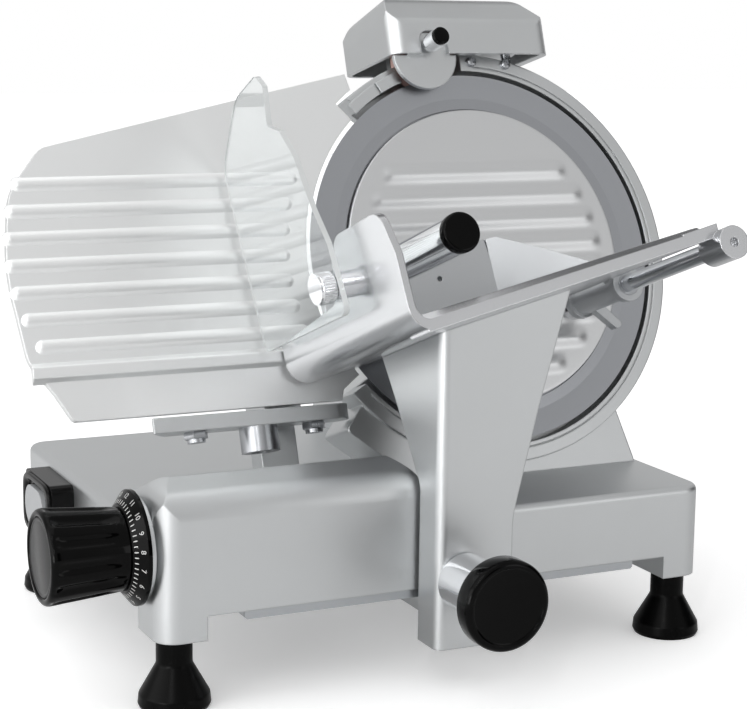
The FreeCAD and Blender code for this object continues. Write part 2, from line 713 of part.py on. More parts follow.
def motor_body():
    profile = [(8, -80), (MOTOR_R - 4, -80), (MOTOR_R, -84), (MOTOR_R, -130), (MOTOR_R - 6, -136), (8, -136),
               (8, -132), (20, -132), (20, -84), (8, -84)]
    shell = turned(profile, Vector(MOTOR_X, MOTOR_V, 0), Vector(0, 0, 1))
    bore = rod_z(4 + RUN_FIT, MOTOR_X, MOTOR_V, -140, -70)
    caps = [rod_z(8, MOTOR_X, MOTOR_V, w, w + 4).cut(bore) for w in (-84, -136)]
    foot = prism([(MOTOR_X - 30, MOTOR_V - 30), (MOTOR_X + 30, MOTOR_V - 30), (MOTOR_X + 40, -96),
                  (MOTOR_X - 40, -96)], -100, -92).cut(rod_z(MOTOR_R - 2, MOTOR_X, MOTOR_V, -140, -70))
    body = fuse([shell] + caps + [foot])
    return put(body, BLADE_FRAME).common(above_base())


def motor_rotor():
    return put(fuse([rod_z(4, MOTOR_X, MOTOR_V, -136, BELT_W0 + BELT_T),
                     rod_z(19, MOTOR_X, MOTOR_V, -128, -88)]),
               BLADE_FRAME)


# ---------------------------------------------------------------- cover plate
def rib(x0, x1, v, face):
    """A rounded horizontal rib that stands RIB_PROUD above a face."""
    w = face + RIB_PROUD - RIB_R
    bar = Part.makeCylinder(RIB_R, x1 - x0, Vector(x0, v, w), Vector(1, 0, 0))
    ends = [Part.makeSphere(RIB_R, Vector(x, v, w)) for x in (x0, x1)]
    keep = box(x0 - RIB_R, x1 + RIB_R, v - RIB_R, v + RIB_R, face - 1, face + RIB_PROUD + 1)
    return fuse([bar] + ends).common(keep)


def blade_cover_plate():
    disc = rod_z(COVER_R, 0, 0, COVER_FACE - COVER_T, COVER_FACE)
    ribs = []
    reach = COVER_R - 9
    for i in range(9):
        v = RIB_TOP - RIB_PITCH * i
        half = math.sqrt(reach * reach - v * v) - RIB_R / 2
        ribs.append(rib(-half, half, v, COVER_FACE))
    boss = rod_z(9, 0, 0, -3.4, COVER_FACE - COVER_T + 0.5)
    return put(fuse([disc, boss] + ribs), BLADE_FRAME)


def cover_tie_rod():
    return put(rod_z(TIE_R, 0, 0, -118, -3.4), BLADE_FRAME)


def tie_rod_knob():
    profile = [(TIE_R, 0), (8, 0), (8, 8), (15, 12), (16, 22, 3), (0, 24), (0, 18), (TIE_R, 18)]
    return put(turned(profile, Vector(0, 0, -100), Vector(0, 0, -1)), BLADE_FRAME)


def slice_deflector():
    """The curved sheet behind the blade that turns the slices down and away."""
    curve = [Vector(-46, 0, -20.5), Vector(-62, 0, -30), Vector(-84, 0, -58), Vector(-92, 0, -84)]
    spine = Part.BSplineCurve()
    spine.interpolate(curve)
    offset = [p + Vector(-0.9, 0, 1.1) for p in curve]
    other = Part.BSplineCurve()
    other.interpolate(offset)
    loop = Part.Wire([spine.toShape(), Part.LineSegment(curve[-1], offset[-1]).toShape(),
                      other.toShape(), Part.LineSegment(offset[0], curve[0]).toShape()])
    sheet = Part.Face(loop).extrude(Vector(0, 118, 0))
    sheet.translate(Vector(0, -44, 0))
    tab = box(-47, -36, 0, 20, -RING_D - 1.4, -RING_D)
    return put(fuse([sheet, tab]), BLADE_FRAME)


# ---------------------------------------------------------------- gauge plate
def gauge_outline():
    arc_low = RING_START - 2.5 + 360
    arc_high = RING_END + 2.0
    step = RING_OUT + 2.5
    corners = [(-259, -79, 4), (-268, -63, 8), (GAUGE_LEFT + 7, -46, 20), (GAUGE_LEFT, 5, 120),
               (GAUGE_LEFT + 6, 46, 30), (-262, 70, 12)]
    corners += [(-150, 95), (-76, 111)]
    corners.append(polar(step, arc_high - 6))
    corners.append(polar(step, arc_high))
    corners.append(polar(GAUGE_ARC_R, arc_high))
    return corners, polar(GAUGE_ARC_R, arc_low), polar(step, arc_low)


def gauge_plate():
    corners, low_in, low_out = gauge_outline()
    rough = prism(corners + [low_in, low_out, (-104, -79)], -GAUGE_T, 0)
    trim = rod_z(GAUGE_ARC_R, 0, 0, -GAUGE_T - 1, 1)
    ribs = []
    for i in range(7):
        v = RIB_TOP - RIB_PITCH * i
        left = GAUGE_LEFT + 4 + 0.005 * (v - 10) ** 2
        right = -math.sqrt((GAUGE_ARC_R + 14) ** 2 - v * v)
        ribs.append(rib(left, right, v, 0))
    lip = prism_side([(-1, -58), (3.0, -55, 1.8), (3.0, -49, 1.8), (-1, -46)], GAUGE_LEFT + 8, -112)
    back_ribs = [box(-240, -130, v, v + 4, -GAUGE_T - 6, -GAUGE_T) for v in (-60, 0, 60)]
    back_ribs += [box(x, x + 4, -76, 62, -GAUGE_T - 6, -GAUGE_T) for x in (-214, -132)]
    body = cut(rough, [trim])
    return put(fuse([body, lip] + ribs + back_ribs), BLADE_FRAME)


def gauge_bracket():
    flange = prism_y([(FLANGE_X0, 0), (FLANGE_X1, 0, 10), (FLANGE_X1, -FLANGE_D, 7),
                      (FLANGE_X0 + 11, -FLANGE_D), (FLANGE_X0, 3 - GAUGE_T)], FLANGE_V0, FLANGE_V1)
    back = -GAUGE_T - 6
    neck = prism_side([(back, FLANGE_V0 + 1), (-FLANGE_D, FLANGE_V0 + 1), (NECK_W1, -76), (NECK_W1, NECK_LOW),
                       (NECK_W0, NECK_LOW), (NECK_W0, -66), (back - 6, -30), (back, -30)],
                      BAR_X - NECK_W / 2, BAR_X + NECK_W / 2)
    bracket = put(fuse([flange, neck]).cut(rod_z(BAR_R, BAR_X, BAR_V, -60, BAR_W1)), BLADE_FRAME)
    return cut(bracket, tab_screw_rods(2.0, TAB_SCREW_DEPTH))


def tab_screw_rods(radius, depth):
    """Rods on the two screws that hold the follower arm to the neck, from the neck's left face inwards."""
    face = BLADE_X + BAR_X - NECK_W / 2
    y, z = tab_place()
    return [rod_x(radius, y + shift, z, face, face + depth) for shift in (-4, 4)]


def tab_place():
    """Middle of the follower arm's tab on the neck's left face, in the world's Y and Z."""
    middle = point(BLADE_FRAME, BAR_X, NECK_LOW + 4, (NECK_W0 + NECK_W1) / 2)
    return middle.y, middle.z


def gauge_bolts():
    small = []
    for x in (-190, -120):
        small.append(put(Part.makeCylinder(5, 6, Vector(x, FLANGE_V0 - 6, -8), Vector(0, 1, 0)), BLADE_FRAME))
    clamp = Part.makeCylinder(10.8, 14, Vector(-152.5, FLANGE_V0 - 14, -10), Vector(0, 1, 0))
    socket = Part.makeCylinder(5.5, 6, Vector(-152.5, FLANGE_V0 - 15, -10), Vector(0, 1, 0))
    face = BLADE_X + BAR_X - NECK_W / 2
    y, z = tab_place()
    tab = face - ARM_STRIP_T
    tab_screws = [fuse([rod_x(3.2, y + shift, z, tab - 3, tab),
                        rod_x(2.0, y + shift, z, tab, face + TAB_SCREW_DEPTH)]) for shift in (-4, 4)]
    return small + [put(clamp.cut(socket), BLADE_FRAME)] + tab_screws


def gauge_slide_bar():
    return put(rod_z(BAR_R, BAR_X, BAR_V, BAR_W0, BAR_W1), BLADE_FRAME)


def guide_bushing():
    return put(rod_z(BUSH_R, BAR_X, BAR_V, GUIDE_W0, GUIDE_W1).cut(
        rod_z(BAR_R + RUN_FIT, BAR_X, BAR_V, GUIDE_W0 - 1, GUIDE_W1 + 1)), BLADE_FRAME)


def pin_place():
    """Rest place of the follower pin, in the world's Y and Z."""
    return KNOB_Y + GROOVE_START * COS_T, KNOB_Z - GROOVE_START * SIN_T


def follower_arm():
    """The strip under the top of the base, from the neck to the cam, with its tab on the neck."""
    y_pin, z_pin = pin_place()
    y_tab, z_tab = tab_place()
    z0 = z_pin - ARM_STRIP_T / 2
    face = BLADE_X + BAR_X - NECK_W / 2
    end = CAM_X0 + CAM_T + 2
    strip = prism([(face, y_tab - 6), (face, y_tab + 6), (end, y_tab + 6, 8), (end, y_pin - 6),
                   (end + 9, y_pin - 6), (end + 9, y_tab - 6, 6)], z0, z0 + ARM_STRIP_T)
    tab = box(face - ARM_STRIP_T, face, y_tab - 8, y_tab + 8, z_tab - 4.5, z0 + ARM_STRIP_T)
    holes = [rod_x(2.0, y_tab + shift, z_tab, face - ARM_STRIP_T - 1, face + 1) for shift in (-4, 4)]
    return cut(fuse([strip, tab]), holes + [rod_x(PIN_R, y_pin, z_pin, end - 1, end + 7)])


def follower_pin():
    y_pin, z_pin = pin_place()
    return rod_x(PIN_R, y_pin, z_pin, CAM_X0 + CAM_T - GROOVE_DEPTH + SLIDE_GAP, CAM_X0 + CAM_T + 9)


# ---------------------------------------------------------------- carriage
def carriage_foot():
    z0 = FOOT_PLATE_Z0
    z1 = z0 + FOOT_PLATE_T
    y_front = ARM_FRONT_Y + ARM_WALL
    plate = prism([(ARM_X0 + 6, y_front), (ARM_X1 - 6, y_front), (ARM_X1 - 6, -88, 20),
                   (BLOCK_X1, ROD_Y - 16, 12),
                   (BLOCK_X1, ROD_Y + 8), (BLOCK_X0, ROD_Y + 8), (BLOCK_X0, ROD_Y - 16, 12),
                   (ARM_X0 + 6, -88, 20)], z0, z1)
    upright = box(ARM_X0 + 6, ARM_X1 - 6, y_front, -BASE_D / 2 - 5, z1, LOCK_Z + 20)
    block = fuse([rod_x(BLOCK_R, ROD_Y, ROD_Z, BLOCK_X0, BLOCK_X1),
                  box(BLOCK_X0, BLOCK_X1, ROD_Y - 8, ROD_Y + 8, z1 - 1, ROD_Z)])
    body = fuse([plate, upright, block])
    return cut(body, [rod_x(ROD_R + 2, ROD_Y, ROD_Z, BLOCK_X0 - 1, BLOCK_X1 + 1),
                      rod_y(STUD_R, LOCK_X, LOCK_Z, ARM_FRONT_Y, -BASE_D / 2 + 1)])


def slide_bushes():
    out = []
    for x in (BLOCK_X0, BLOCK_X1 - 20):
        out.append(rod_x(ROD_R + 2, ROD_Y, ROD_Z, x, x + 20).cut(
            rod_x(ROD_R + RUN_FIT, ROD_Y, ROD_Z, x - 1, x + 21)))
    return out


def rail_shoe():
    y_back = -BASE_D / 2 + 2 + RAIL_D
    z1 = FOOT_PLATE_Z0 + FOOT_PLATE_T
    upright = box(-7, 17, y_back + SLIDE_GAP, y_back + 9, z1, BASE_SKIRT + 5)
    hook = box(-7, 17, y_back - 5, y_back + 9, BASE_SKIRT + SLIDE_GAP, BASE_SKIRT + 5)
    return fuse([upright, hook])


def arm_front(inset):
    """Front outline of the arm, as (x, z)."""
    top = 240.0
    return [(ARM_X0 + inset, ARM_BOTTOM), (ARM_X1 - inset, ARM_BOTTOM), (ARM_X1 - inset, 92, 60),
            (ARM_X1 + 14 - inset, 150, 150), (ARM_TOP_X1 + 4 - inset, top), (ARM_X0 + inset, top)]


def arm_side(front, back):
    """Side outline of the arm, as (y, z); the back edge sweeps away above the base."""
    return [(front, ARM_BOTTOM - 1), (front, 250), (-40 + back, 250), (-62 + back, 190, 20),
            (-98 + back, 148, 30), (ARM_BACK_Y + back, 108, 12), (ARM_BACK_Y + back, ARM_BOTTOM - 1)]


def tray_low(x):
    """Height of the tray's underside at x, in the tray frame."""
    return TRAY_LOW + TRAY_RISE * (x - TRAY_X0)


def under_tray_slab(thickness):
    """A layer just below the tray's underside, in the tray frame."""
    return prism([(-FAR, tray_low(-FAR) - thickness), (FAR, tray_low(FAR) - thickness), (FAR, tray_low(FAR)),
                  (-FAR, tray_low(-FAR))], 0, FAR)


def under_tray():
    """Everything below the tray's underside, in the world."""
    wedge = [(-FAR, -FAR), (FAR, -FAR), (FAR, tray_low(FAR)), (-FAR, tray_low(-FAR))]
    return put(prism(wedge, -FAR, FAR), TRAY_FRAME)


def carriage_arm():
    outer = prism_y(arm_front(0), ARM_FRONT_Y, -20).common(prism_x(arm_side(ARM_FRONT_Y, 0), -100, 120))
    front_edges = edges_where(outer, lambda e: abs(e.BoundBox.YMin - ARM_FRONT_Y) < 1e-6
                              and abs(e.BoundBox.YMax - ARM_FRONT_Y) < 1e-6
                              and e.BoundBox.ZLength > 5 and e.BoundBox.XMax < ARM_X0 + 1)
    outer = outer.makeFillet(5.0, front_edges)
    inner = prism_y(arm_front(ARM_WALL), ARM_FRONT_Y + ARM_WALL, -10)
    stud_hole = rod_y(STUD_R + 0.5, LOCK_X, LOCK_Z, ARM_FRONT_Y - 1, ARM_FRONT_Y + ARM_WALL + 1)
    body = cut(outer, [inner, stud_hole])
    flange = outer.common(put(under_tray_slab(ARM_FLANGE_T), TRAY_FRAME))
    body = fuse([body.common(under_tray()), flange])
    return body.cut(put(Part.makeCompound(tray_screw_holes()), TRAY_FRAME))


def lock_neck():
    y = ARM_FRONT_Y - SLIDE_GAP
    profile = [(STUD_R, 0), (LOCK_NECK_R, 0, 1.5), (LOCK_NECK_R - 1, LOCK_NECK_L), (STUD_R, LOCK_NECK_L)]
    return turned(profile, Vector(LOCK_X, y, LOCK_Z), Vector(0, -1, 0))


def lock_knob():
    y = ARM_FRONT_Y - SLIDE_GAP - LOCK_NECK_L
    profile = [(0, 0), (LOCK_DISC_R - 3, 0), (LOCK_DISC_R, 3), (LOCK_DISC_R, LOCK_DISC_T, 3.5), (0, LOCK_DISC_T)]
    return turned(profile, Vector(LOCK_X, y, LOCK_Z), Vector(0, -1, 0))


def lock_stud():
    return rod_y(STUD_R, LOCK_X, LOCK_Z, ARM_FRONT_Y - SLIDE_GAP - LOCK_NECK_L, -BASE_D / 2 - 5)


def lip_section(x, height):
    """Section of the tray's near lip at x."""
    low = tray_low(x)
    floor = low + TRAY_T
    top = floor + height
    w = TRAY_W1
    outline = [(w, low), (w, floor + 1), (w - 4, top - 0.5), (w - 9, top), (w - 13, top - 0.5),
               (w - 20, floor + 0.3), (w - 24, floor - 1), (w - 20, low)]
    return Part.makePolygon([Vector(x, h, d) for d, h in outline + outline[:1]])


def food_tray():
    x0 = TRAY_X0
    x1 = TRAY_X1
    channel = prism([(x0, TRAY_LOW, 13), (x1, tray_low(x1)), (x1, tray_low(x1) + TRAY_T),
                     (x0 + WALL_T, tray_low(x0 + WALL_T) + TRAY_T, 9), (x0 + WALL_T, 30), (x0, 30)],
                     TRAY_W0, TRAY_W1)
    low = TRAY_LOW - 1
    side = prism_side([(TRAY_W0 - 1, low), (TRAY_W1, low), (TRAY_W1, -14, 6), (157, 9, 12),
                       (100, 9, 12), (92, -24, 10), (TRAY_W0 + 4, -31, 6), (TRAY_W0 - 1, -31)],
                       x0 - 1, x0 + 30)
    floor = box(x0 + 30, x1, low, 0, TRAY_W0, TRAY_W1)
    shape = channel.common(fuse([side, floor]))
    lip = Part.makeLoft([lip_section(x0 + 8, LIP_H), lip_section(x1, LIP_H - 1)], True, True)
    strip = prism([(x1 - 12, tray_low(x1 - 12)), (PUSH_X - 3, tray_low(PUSH_X)),
                   (PUSH_X - 3, tray_low(PUSH_X) + 7),
                   (x1 - 12, tray_low(x1 - 12) + TRAY_T + 2)], ROD_W1 - 20, TRAY_W1)
    near_ear = rod_z(9, PUSH_X, PUSH_H, ROD_W1 - 20, ROD_W1)
    far_ear = fuse([rod_z(9, PUSH_X, PUSH_H, TRAY_W0, TRAY_W0 + EAR_T),
                    box(x1 - 8, PUSH_X, PUSH_H - 4, PUSH_H + 6, TRAY_W0, TRAY_W0 + EAR_T)])
    body = fuse([shape, lip, strip, near_ear, far_ear])
    body = body.cut(rod_z(PUSH_ROD_R, PUSH_X, PUSH_H, 0, ROD_W1 - 6))
    body = body.cut(rod_z(2.5, PUSH_X, PUSH_H, ROD_W1 - 4, ROD_W1 + 1))
    return put(cut(body, [guard_axis(3, x0 - 5, x0 + 15)] + tray_screw_holes()), TRAY_FRAME)


def guard_axis(radius, xa, xb):
    """A cylinder on the axis of the screw that holds the hand guard."""
    return Part.makeCylinder(radius, xb - xa, Vector(xa, GUARD_H, GUARD_W), Vector(1, 0, 0))


def tray_screw_places():
    return [(-84.0, 106.0), (-84.0, 68.0), (-40.0, 106.0), (-40.0, 68.0)]


def tray_screw_holes():
    return [Part.makeCylinder(2.5, 40, Vector(x, tray_low(x) - 20, w), Vector(0, 1, 0))
            for x, w in tray_screw_places()]


def tray_screws():
    out = []
    for x, w in tray_screw_places():
        top = tray_low(x) + TRAY_T + 0.55
        head = Part.makeCylinder(4.5, 2, Vector(x, top, w), Vector(0, 1, 0))
        shank = Part.makeCylinder(2.5, TRAY_T + 10.25, Vector(x, top - TRAY_T - 10.25, w), Vector(0, 1, 0))
        out.append(put(fuse([head, shank]), TRAY_FRAME))
    return out


def pusher_rod():
    return put(rod_z(PUSH_ROD_R, PUSH_X, PUSH_H, TRAY_W0, ROD_W1 - 6), TRAY_FRAME)


def pusher_bushes():
    out = []
    for w in (SLEEVE_W0, SLEEVE_W1 - 14):
        out.append(put(rod_z(PUSH_BUSH_R, PUSH_X, PUSH_H, w, w + 14).cut(
            rod_z(PUSH_ROD_R + RUN_FIT, PUSH_X, PUSH_H, w - 1, w + 15)), TRAY_FRAME))
    return out


def pusher():
    sleeve = fuse([rod_z(SLEEVE_R, PUSH_X, PUSH_H, SLEEVE_W0, SLEEVE_W1),
                   rod_z(SLEEVE_R + 2, PUSH_X, PUSH_H, SLEEVE_W0, SLEEVE_W0 + 5),
                   rod_z(SLEEVE_R + 2, PUSH_X, PUSH_H, SLEEVE_W1 - 5, SLEEVE_W1)])
    lift = TRAY_T + PUSHER_LIFT
    plate = prism([(PUSHER_X0, tray_low(PUSHER_X0) + lift, 6), (PUSHER_X1, tray_low(PUSHER_X1) + lift),
                   (PUSHER_X1 - 4, PUSHER_TOP), (PUSHER_X0, PUSHER_TOP - 4, 14)], PUSHER_W, PUSHER_W + PUSHER_T)
    web = prism_web()
    hook = prism([(PUSH_X - 4, PUSH_H - 4), (PUSH_X + 5, PUSH_H - 5), (PUSH_X + 16, PUSH_H - 19, 2),
                  (PUSH_X + 11, PUSH_H - 21, 2)], SLEEVE_W0 + 10, SLEEVE_W0 + 16)
    hole = rod_z(1.6, -46, -12, PUSHER_W - 1, PUSHER_W + PUSHER_T + 1)
    body = fuse([plate, web, sleeve, hook])
    return put(cut(body, [hole, rod_z(PUSH_BUSH_R + RUN_FIT, PUSH_X, PUSH_H, 0, 100)]), TRAY_FRAME)


def prism_web():
    """The slanting web that joins the pusher plate to its sleeve."""
    low = tray_low(PUSHER_X1) + TRAY_T + PUSHER_LIFT
    plan = [(PUSHER_X1 - 3, PUSHER_W), (PUSHER_X1 - 3, PUSHER_W + PUSHER_T), (PUSH_X - 4, SLEEVE_W1 - 2),
            (PUSH_X - 1, SLEEVE_W1 - 7), (PUSHER_X1 + 3, PUSHER_W)]
    slab = prism(plan, 0, 80)
    turn = Placement(Vector(0, low + 70, 0), Rotation(Vector(1, 0, 0), 90))
    slab.Placement = turn.multiply(slab.Placement)
    trim = prism([(PUSHER_X1 - 4, low), (TRAY_X1 + 2, tray_low(TRAY_X1) + TRAY_T + PUSHER_LIFT),
                  (PUSH_X - 6, PUSH_H),
                  (PUSH_X, PUSH_H), (PUSH_X, PUSH_H + 7), (14, -8), (PUSHER_X1 + 2, PUSHER_TOP),
                  (PUSHER_X1 - 4, PUSHER_TOP)], 0, 120)
    return slab.common(trim)


def pusher_teeth():
    solids = []
    for i in range(6):
        for j in range(2):
            x = PUSHER_X0 + 12 + 17 * i
            h = -38 + 3 * i + 20 * j
            solids.append(put(Part.makeCone(0.4, 2.2, 4.5, Vector(x, h, PUSHER_W - 4.5)), TRAY_FRAME))
    return solids


def pusher_handle():
    tube = rod_z(HANDLE_R, HANDLE_X, HANDLE_H, PUSHER_W + PUSHER_T, HANDLE_END)
    return put(tube.cut(rod_z(HANDLE_R - 1.5, HANDLE_X, HANDLE_H, PUSHER_W + PUSHER_T + 3, HANDLE_END + 1)),
               TRAY_FRAME)


def handle_cap():
    profile = [(0, -10), (HANDLE_R - 1.5, -10), (HANDLE_R - 1.5, 0), (HANDLE_R + 0.4, 0),
               (HANDLE_R + 0.4, 5, 2), (0, 5.6)]
    return put(turned(profile, Vector(HANDLE_X, HANDLE_H, HANDLE_END), Vector(0, 0, 1)), TRAY_FRAME)


def hand_guard():
    outline = [(6, -33, 4), (118, -33, 5), (115, 4), (107, 24, 30), (100, 54, 20), (90, 70, 3), (77, 76, 3),
               (83, 96, 2), (76, 104, 4), (44, 101, 25), (6, 72, 20)]
    sheet = prism_side(outline, GUARD_X, GUARD_X + GUARD_T)
    return put(sheet.cut(guard_axis(3, GUARD_X - 5, GUARD_X + 15)), TRAY_FRAME)


def guard_spacer():
    return put(guard_axis(7, GUARD_X + GUARD_T, TRAY_X0).cut(guard_axis(3, GUARD_X, TRAY_X0 + 1)), TRAY_FRAME)


def guard_screw():
    inner = TRAY_X0 + WALL_T
    return put(fuse([guard_axis(3, GUARD_X - 6, inner), guard_axis(5.5, inner, inner + 3)]), TRAY_FRAME)


def guard_nut():
    return put(guard_axis(8, GUARD_X - 9, GUARD_X).cut(guard_axis(3, GUARD_X - 6, GUARD_X + 1)), TRAY_FRAME)


# ---------------------------------------------------------------- sharpener
def sharp_side(inset):
    """Side outline of the sharpener cover, as (w, v)."""
    front = SHARP_FRONT - inset
    back = SHARP_BACK + inset
    top = SHARP_V1 - inset
    low = SHARP_V0 - (3 if inset else 0)
    return [(front, low), (front, SHARP_V0 + 20, 9 - inset), (front - 13, top, 12 - inset),
            (back + 12, top - 2, 12), (back, top - 12, 10), (back, low + SHARP_SLOPE)]


def sharp_plan(inset):
    """The sharpener cover seen from above: a box with rounded upright edges."""
    return prism_y(rect(SHARP_X0 + inset, SHARP_X1 - inset, SHARP_BACK + inset, SHARP_FRONT - inset,
                        SHARP_CORNER - inset), SHARP_V0 - 12, SHARP_V1 + 1)


def post(x, radius, top):
    """A post that stands in the ring guard, up to a height above the blade centre."""
    foot = math.sqrt((RING_IN + 1) ** 2 - x * x)
    return Part.makeCylinder(radius, top - foot, Vector(x, foot, POST_W), Vector(0, 1, 0))


def sharpener_posts():
    return [put(post(x, POST_R, SHARP_V1 - 10), BLADE_FRAME) for x in POST_X]


def post_bores(clearance):
    return [post(x, POST_R + clearance, SHARP_V1 + 10) for x in POST_X]


def spindle_bore(x, v, front):
    return rod_z(SPINDLE_R + RUN_FIT, x, v, -80, front)


def sharpener_cover():
    outer = prism_side(sharp_side(0), SHARP_X0, SHARP_X1)
    ends = prism([(SHARP_X0, SHARP_V0 - 1), (SHARP_X1, SHARP_V0 - 1), (SHARP_X1, SHARP_V1 - 18, 16),
                  (SHARP_X1 - 16, SHARP_V1, 18), (SHARP_X0 + 4, SHARP_V1, 8), (SHARP_X0, SHARP_V1 - 14, 22)],
                 SHARP_BACK - 1, SHARP_FRONT + 1)
    outer = outer.common(ends).common(sharp_plan(0))
    inner = prism_side(sharp_side(SHARP_WALL), SHARP_X0 + SHARP_WALL, SHARP_X1 - SHARP_WALL)
    inner = inner.common(box(SHARP_X0, SHARP_X1 - 6, SHARP_V0 - 9, SHARP_V1 - 8, SHARP_BACK, SHARP_FRONT))
    inner = inner.common(sharp_plan(SHARP_WALL))
    notch = prism(rect(HONE_X - 6, HONE_X + 12, SHARP_V0 - 15, SHARP_V0 + 14, 6), 0, SHARP_FRONT + 2)
    return put(cut(outer, [inner, notch]), BLADE_FRAME)


def sharpener_carrier():
    """The block that slides on the posts; it carries both spindles and the half-round shield."""
    low = RING_OUT + 1.5
    top = low + 9
    front = SHARP_FRONT - SHARP_WALL
    block = box(POST_X[0] - 7, POST_X[1] + 7, low, top, -32, front)
    shield = rod_z(20.5, HONE_X - 2.5, SHARP_V0, front - 3, front)
    shield = shield.common(box(-60, 20, 90, SHARP_V0 - SLIDE_GAP, 0, 20))
    neck = box(HONE_X - 14, HONE_X + 14, SHARP_V0 - 3, SHARP_V0 + 2, front - 3, front)
    tie = box(HONE_X - 14, POST_X[0], SHARP_V0 + 0.6, top, front - 3, front)
    back = box(GRIND_X - 8, POST_X[0], low, top, -32, -27)
    lug = box(GRIND_X - 8, GRIND_X + 8, GRIND_V - 6, low, -32, -27)
    mount = box(POST_X[0] - 7, POST_X[1] + 7, top, SHARP_V1 - 8, -24, -16)
    body = fuse([block, shield, neck, tie, back, lug, mount])
    bores = post_bores(RUN_FIT) + [spindle_bore(HONE_X, HONE_V, 40), spindle_bore(GRIND_X, GRIND_V, 0)]
    return put(cut(body, bores), BLADE_FRAME)


def hone_button():
    w = SHARP_FRONT
    return put(fuse([rod_z(5.5, HONE_X, HONE_V, w + 3, w + 14), rod_z(4.2, HONE_X, HONE_V, w - 1, w + 3),
                     rod_z(SPINDLE_R, HONE_X, HONE_V, HONE_W, w)]), BLADE_FRAME)


def hone_stone():
    ring = rod_z(HONE_R, HONE_X, HONE_V, HONE_W, HONE_W + 2.2)
    return put(ring.cut(rod_z(SPINDLE_R + RUN_FIT, HONE_X, HONE_V, 0, 10)), BLADE_FRAME)


def grind_stone():
    stone = rod_z(GRIND_R, GRIND_X, GRIND_V, GRIND_W - STONE_T, GRIND_W)
    return put(stone.cut(rod_z(SPINDLE_R + RUN_FIT, GRIND_X, GRIND_V, -40, 0)), BLADE_FRAME)


def grind_button():
    return put(fuse([rod_z(SPINDLE_R, GRIND_X, GRIND_V, -50, GRIND_W), rod_z(5.5, GRIND_X, GRIND_V, -62, -50)]),
               BLADE_FRAME)


PARTS = {
    "base_casting": base_casting,
    "rubber_feet": rubber_feet,
    "base_fasteners": lambda: foot_screws() + bottom_plate_screws() + frame_bolts(),
    "bottom_plate": bottom_plate,
    "cable_gland": cable_gland,
    "carriage_rod": carriage_rod,
    "guide_rail": guide_rail,
    "switch_box": switch_box,
    "switch_button": switch_button,
    "knob_cam": cam_disc,
    "knob_shaft": knob_shaft,
    "knob_dial": knob_dial,
    "knob_grip": knob_grip,
    "frame_casting": frame_casting,
    "ring_end_blocks": ring_end_block,
    "motor_housing": motor_housing,
    "hub_bearings": hub_bearings,
    "blade": blade,
    "blade_screws": blade_screws,
    "blade_hub": blade_hub,
    "hub_pulley": lambda: pulley(PULLEY_R, SHAFT_R, 0, 0),
    "motor_pulley": lambda: pulley(MOTOR_PULLEY_R, 4, MOTOR_X, MOTOR_V),
    "drive_belt": drive_belt,
    "motor_body": motor_body,
    "motor_rotor": motor_rotor,
    "blade_cover_plate": blade_cover_plate,
    "cover_tie_rod": cover_tie_rod,
    "tie_rod_knob": tie_rod_knob,
    "slice_deflector": slice_deflector,
    "gauge_plate": gauge_plate,
    "gauge_bracket": gauge_bracket,
    "gauge_bolts": gauge_bolts,
    "gauge_slide_bar": gauge_slide_bar,
    "guide_bushing": guide_bushing,
    "follower_arm": follower_arm,
    "follower_pin": follower_pin,
    "carriage_foot": carriage_foot,
    "slide_bushes": slide_bushes,
    "rail_shoe": rail_shoe,
    "carriage_arm": carriage_arm,
    "lock_neck": lock_neck,
    "lock_knob": lock_knob,
    "lock_stud": lock_stud,
    "food_tray": food_tray,
    "tray_screws": tray_screws,
    "pusher_rod": pusher_rod,
    "pusher_bushes": pusher_bushes,
    "pusher": pusher,
    "pusher_teeth": pusher_teeth,
    "pusher_handle": pusher_handle,
    "handle_cap": handle_cap,
    "hand_guard": hand_guard,
    "guard_fixing": lambda: [guard_spacer(), guard_screw(), guard_nut()],
    "sharpener_cover": sharpener_cover,
    "sharpener_carrier": sharpener_carrier,
    "sharpener_posts": sharpener_posts,
    "hone_button": hone_button,
    "hone_stone": hone_stone,
    "grind_button": grind_button,
    "grind_stone": grind_stone,
}

os.makedirs("parts", exist_ok=True)
for name, make in PARTS.items():
    made = make()
    shape = Part.makeCompound(made) if isinstance(made, list) else made
    count = len(shape.Solids)
    print("%-22s solids %d valid %s volume %.1f cm3" % (name, count, shape.isValid(), shape.Volume / 1000))
    shape.exportStep("parts/%s.step" % name)
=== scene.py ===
# %% [markdown]
# # Dressing a gravity-feed slicer
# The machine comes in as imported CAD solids: a cast base, a blade behind a ring guard, a gauge
# plate on the left and a food tray that slides past the blade. This lesson gives each of them
# the finish of the real thing, adds the small pieces that the solids leave out, and lights it
# all as for a page of a catalogue. The solids are a fixed frame, so nothing on them is moved.

# %% Load the fixed frame
import math

import bmesh
import bpy
from mathutils import Matrix, Vector


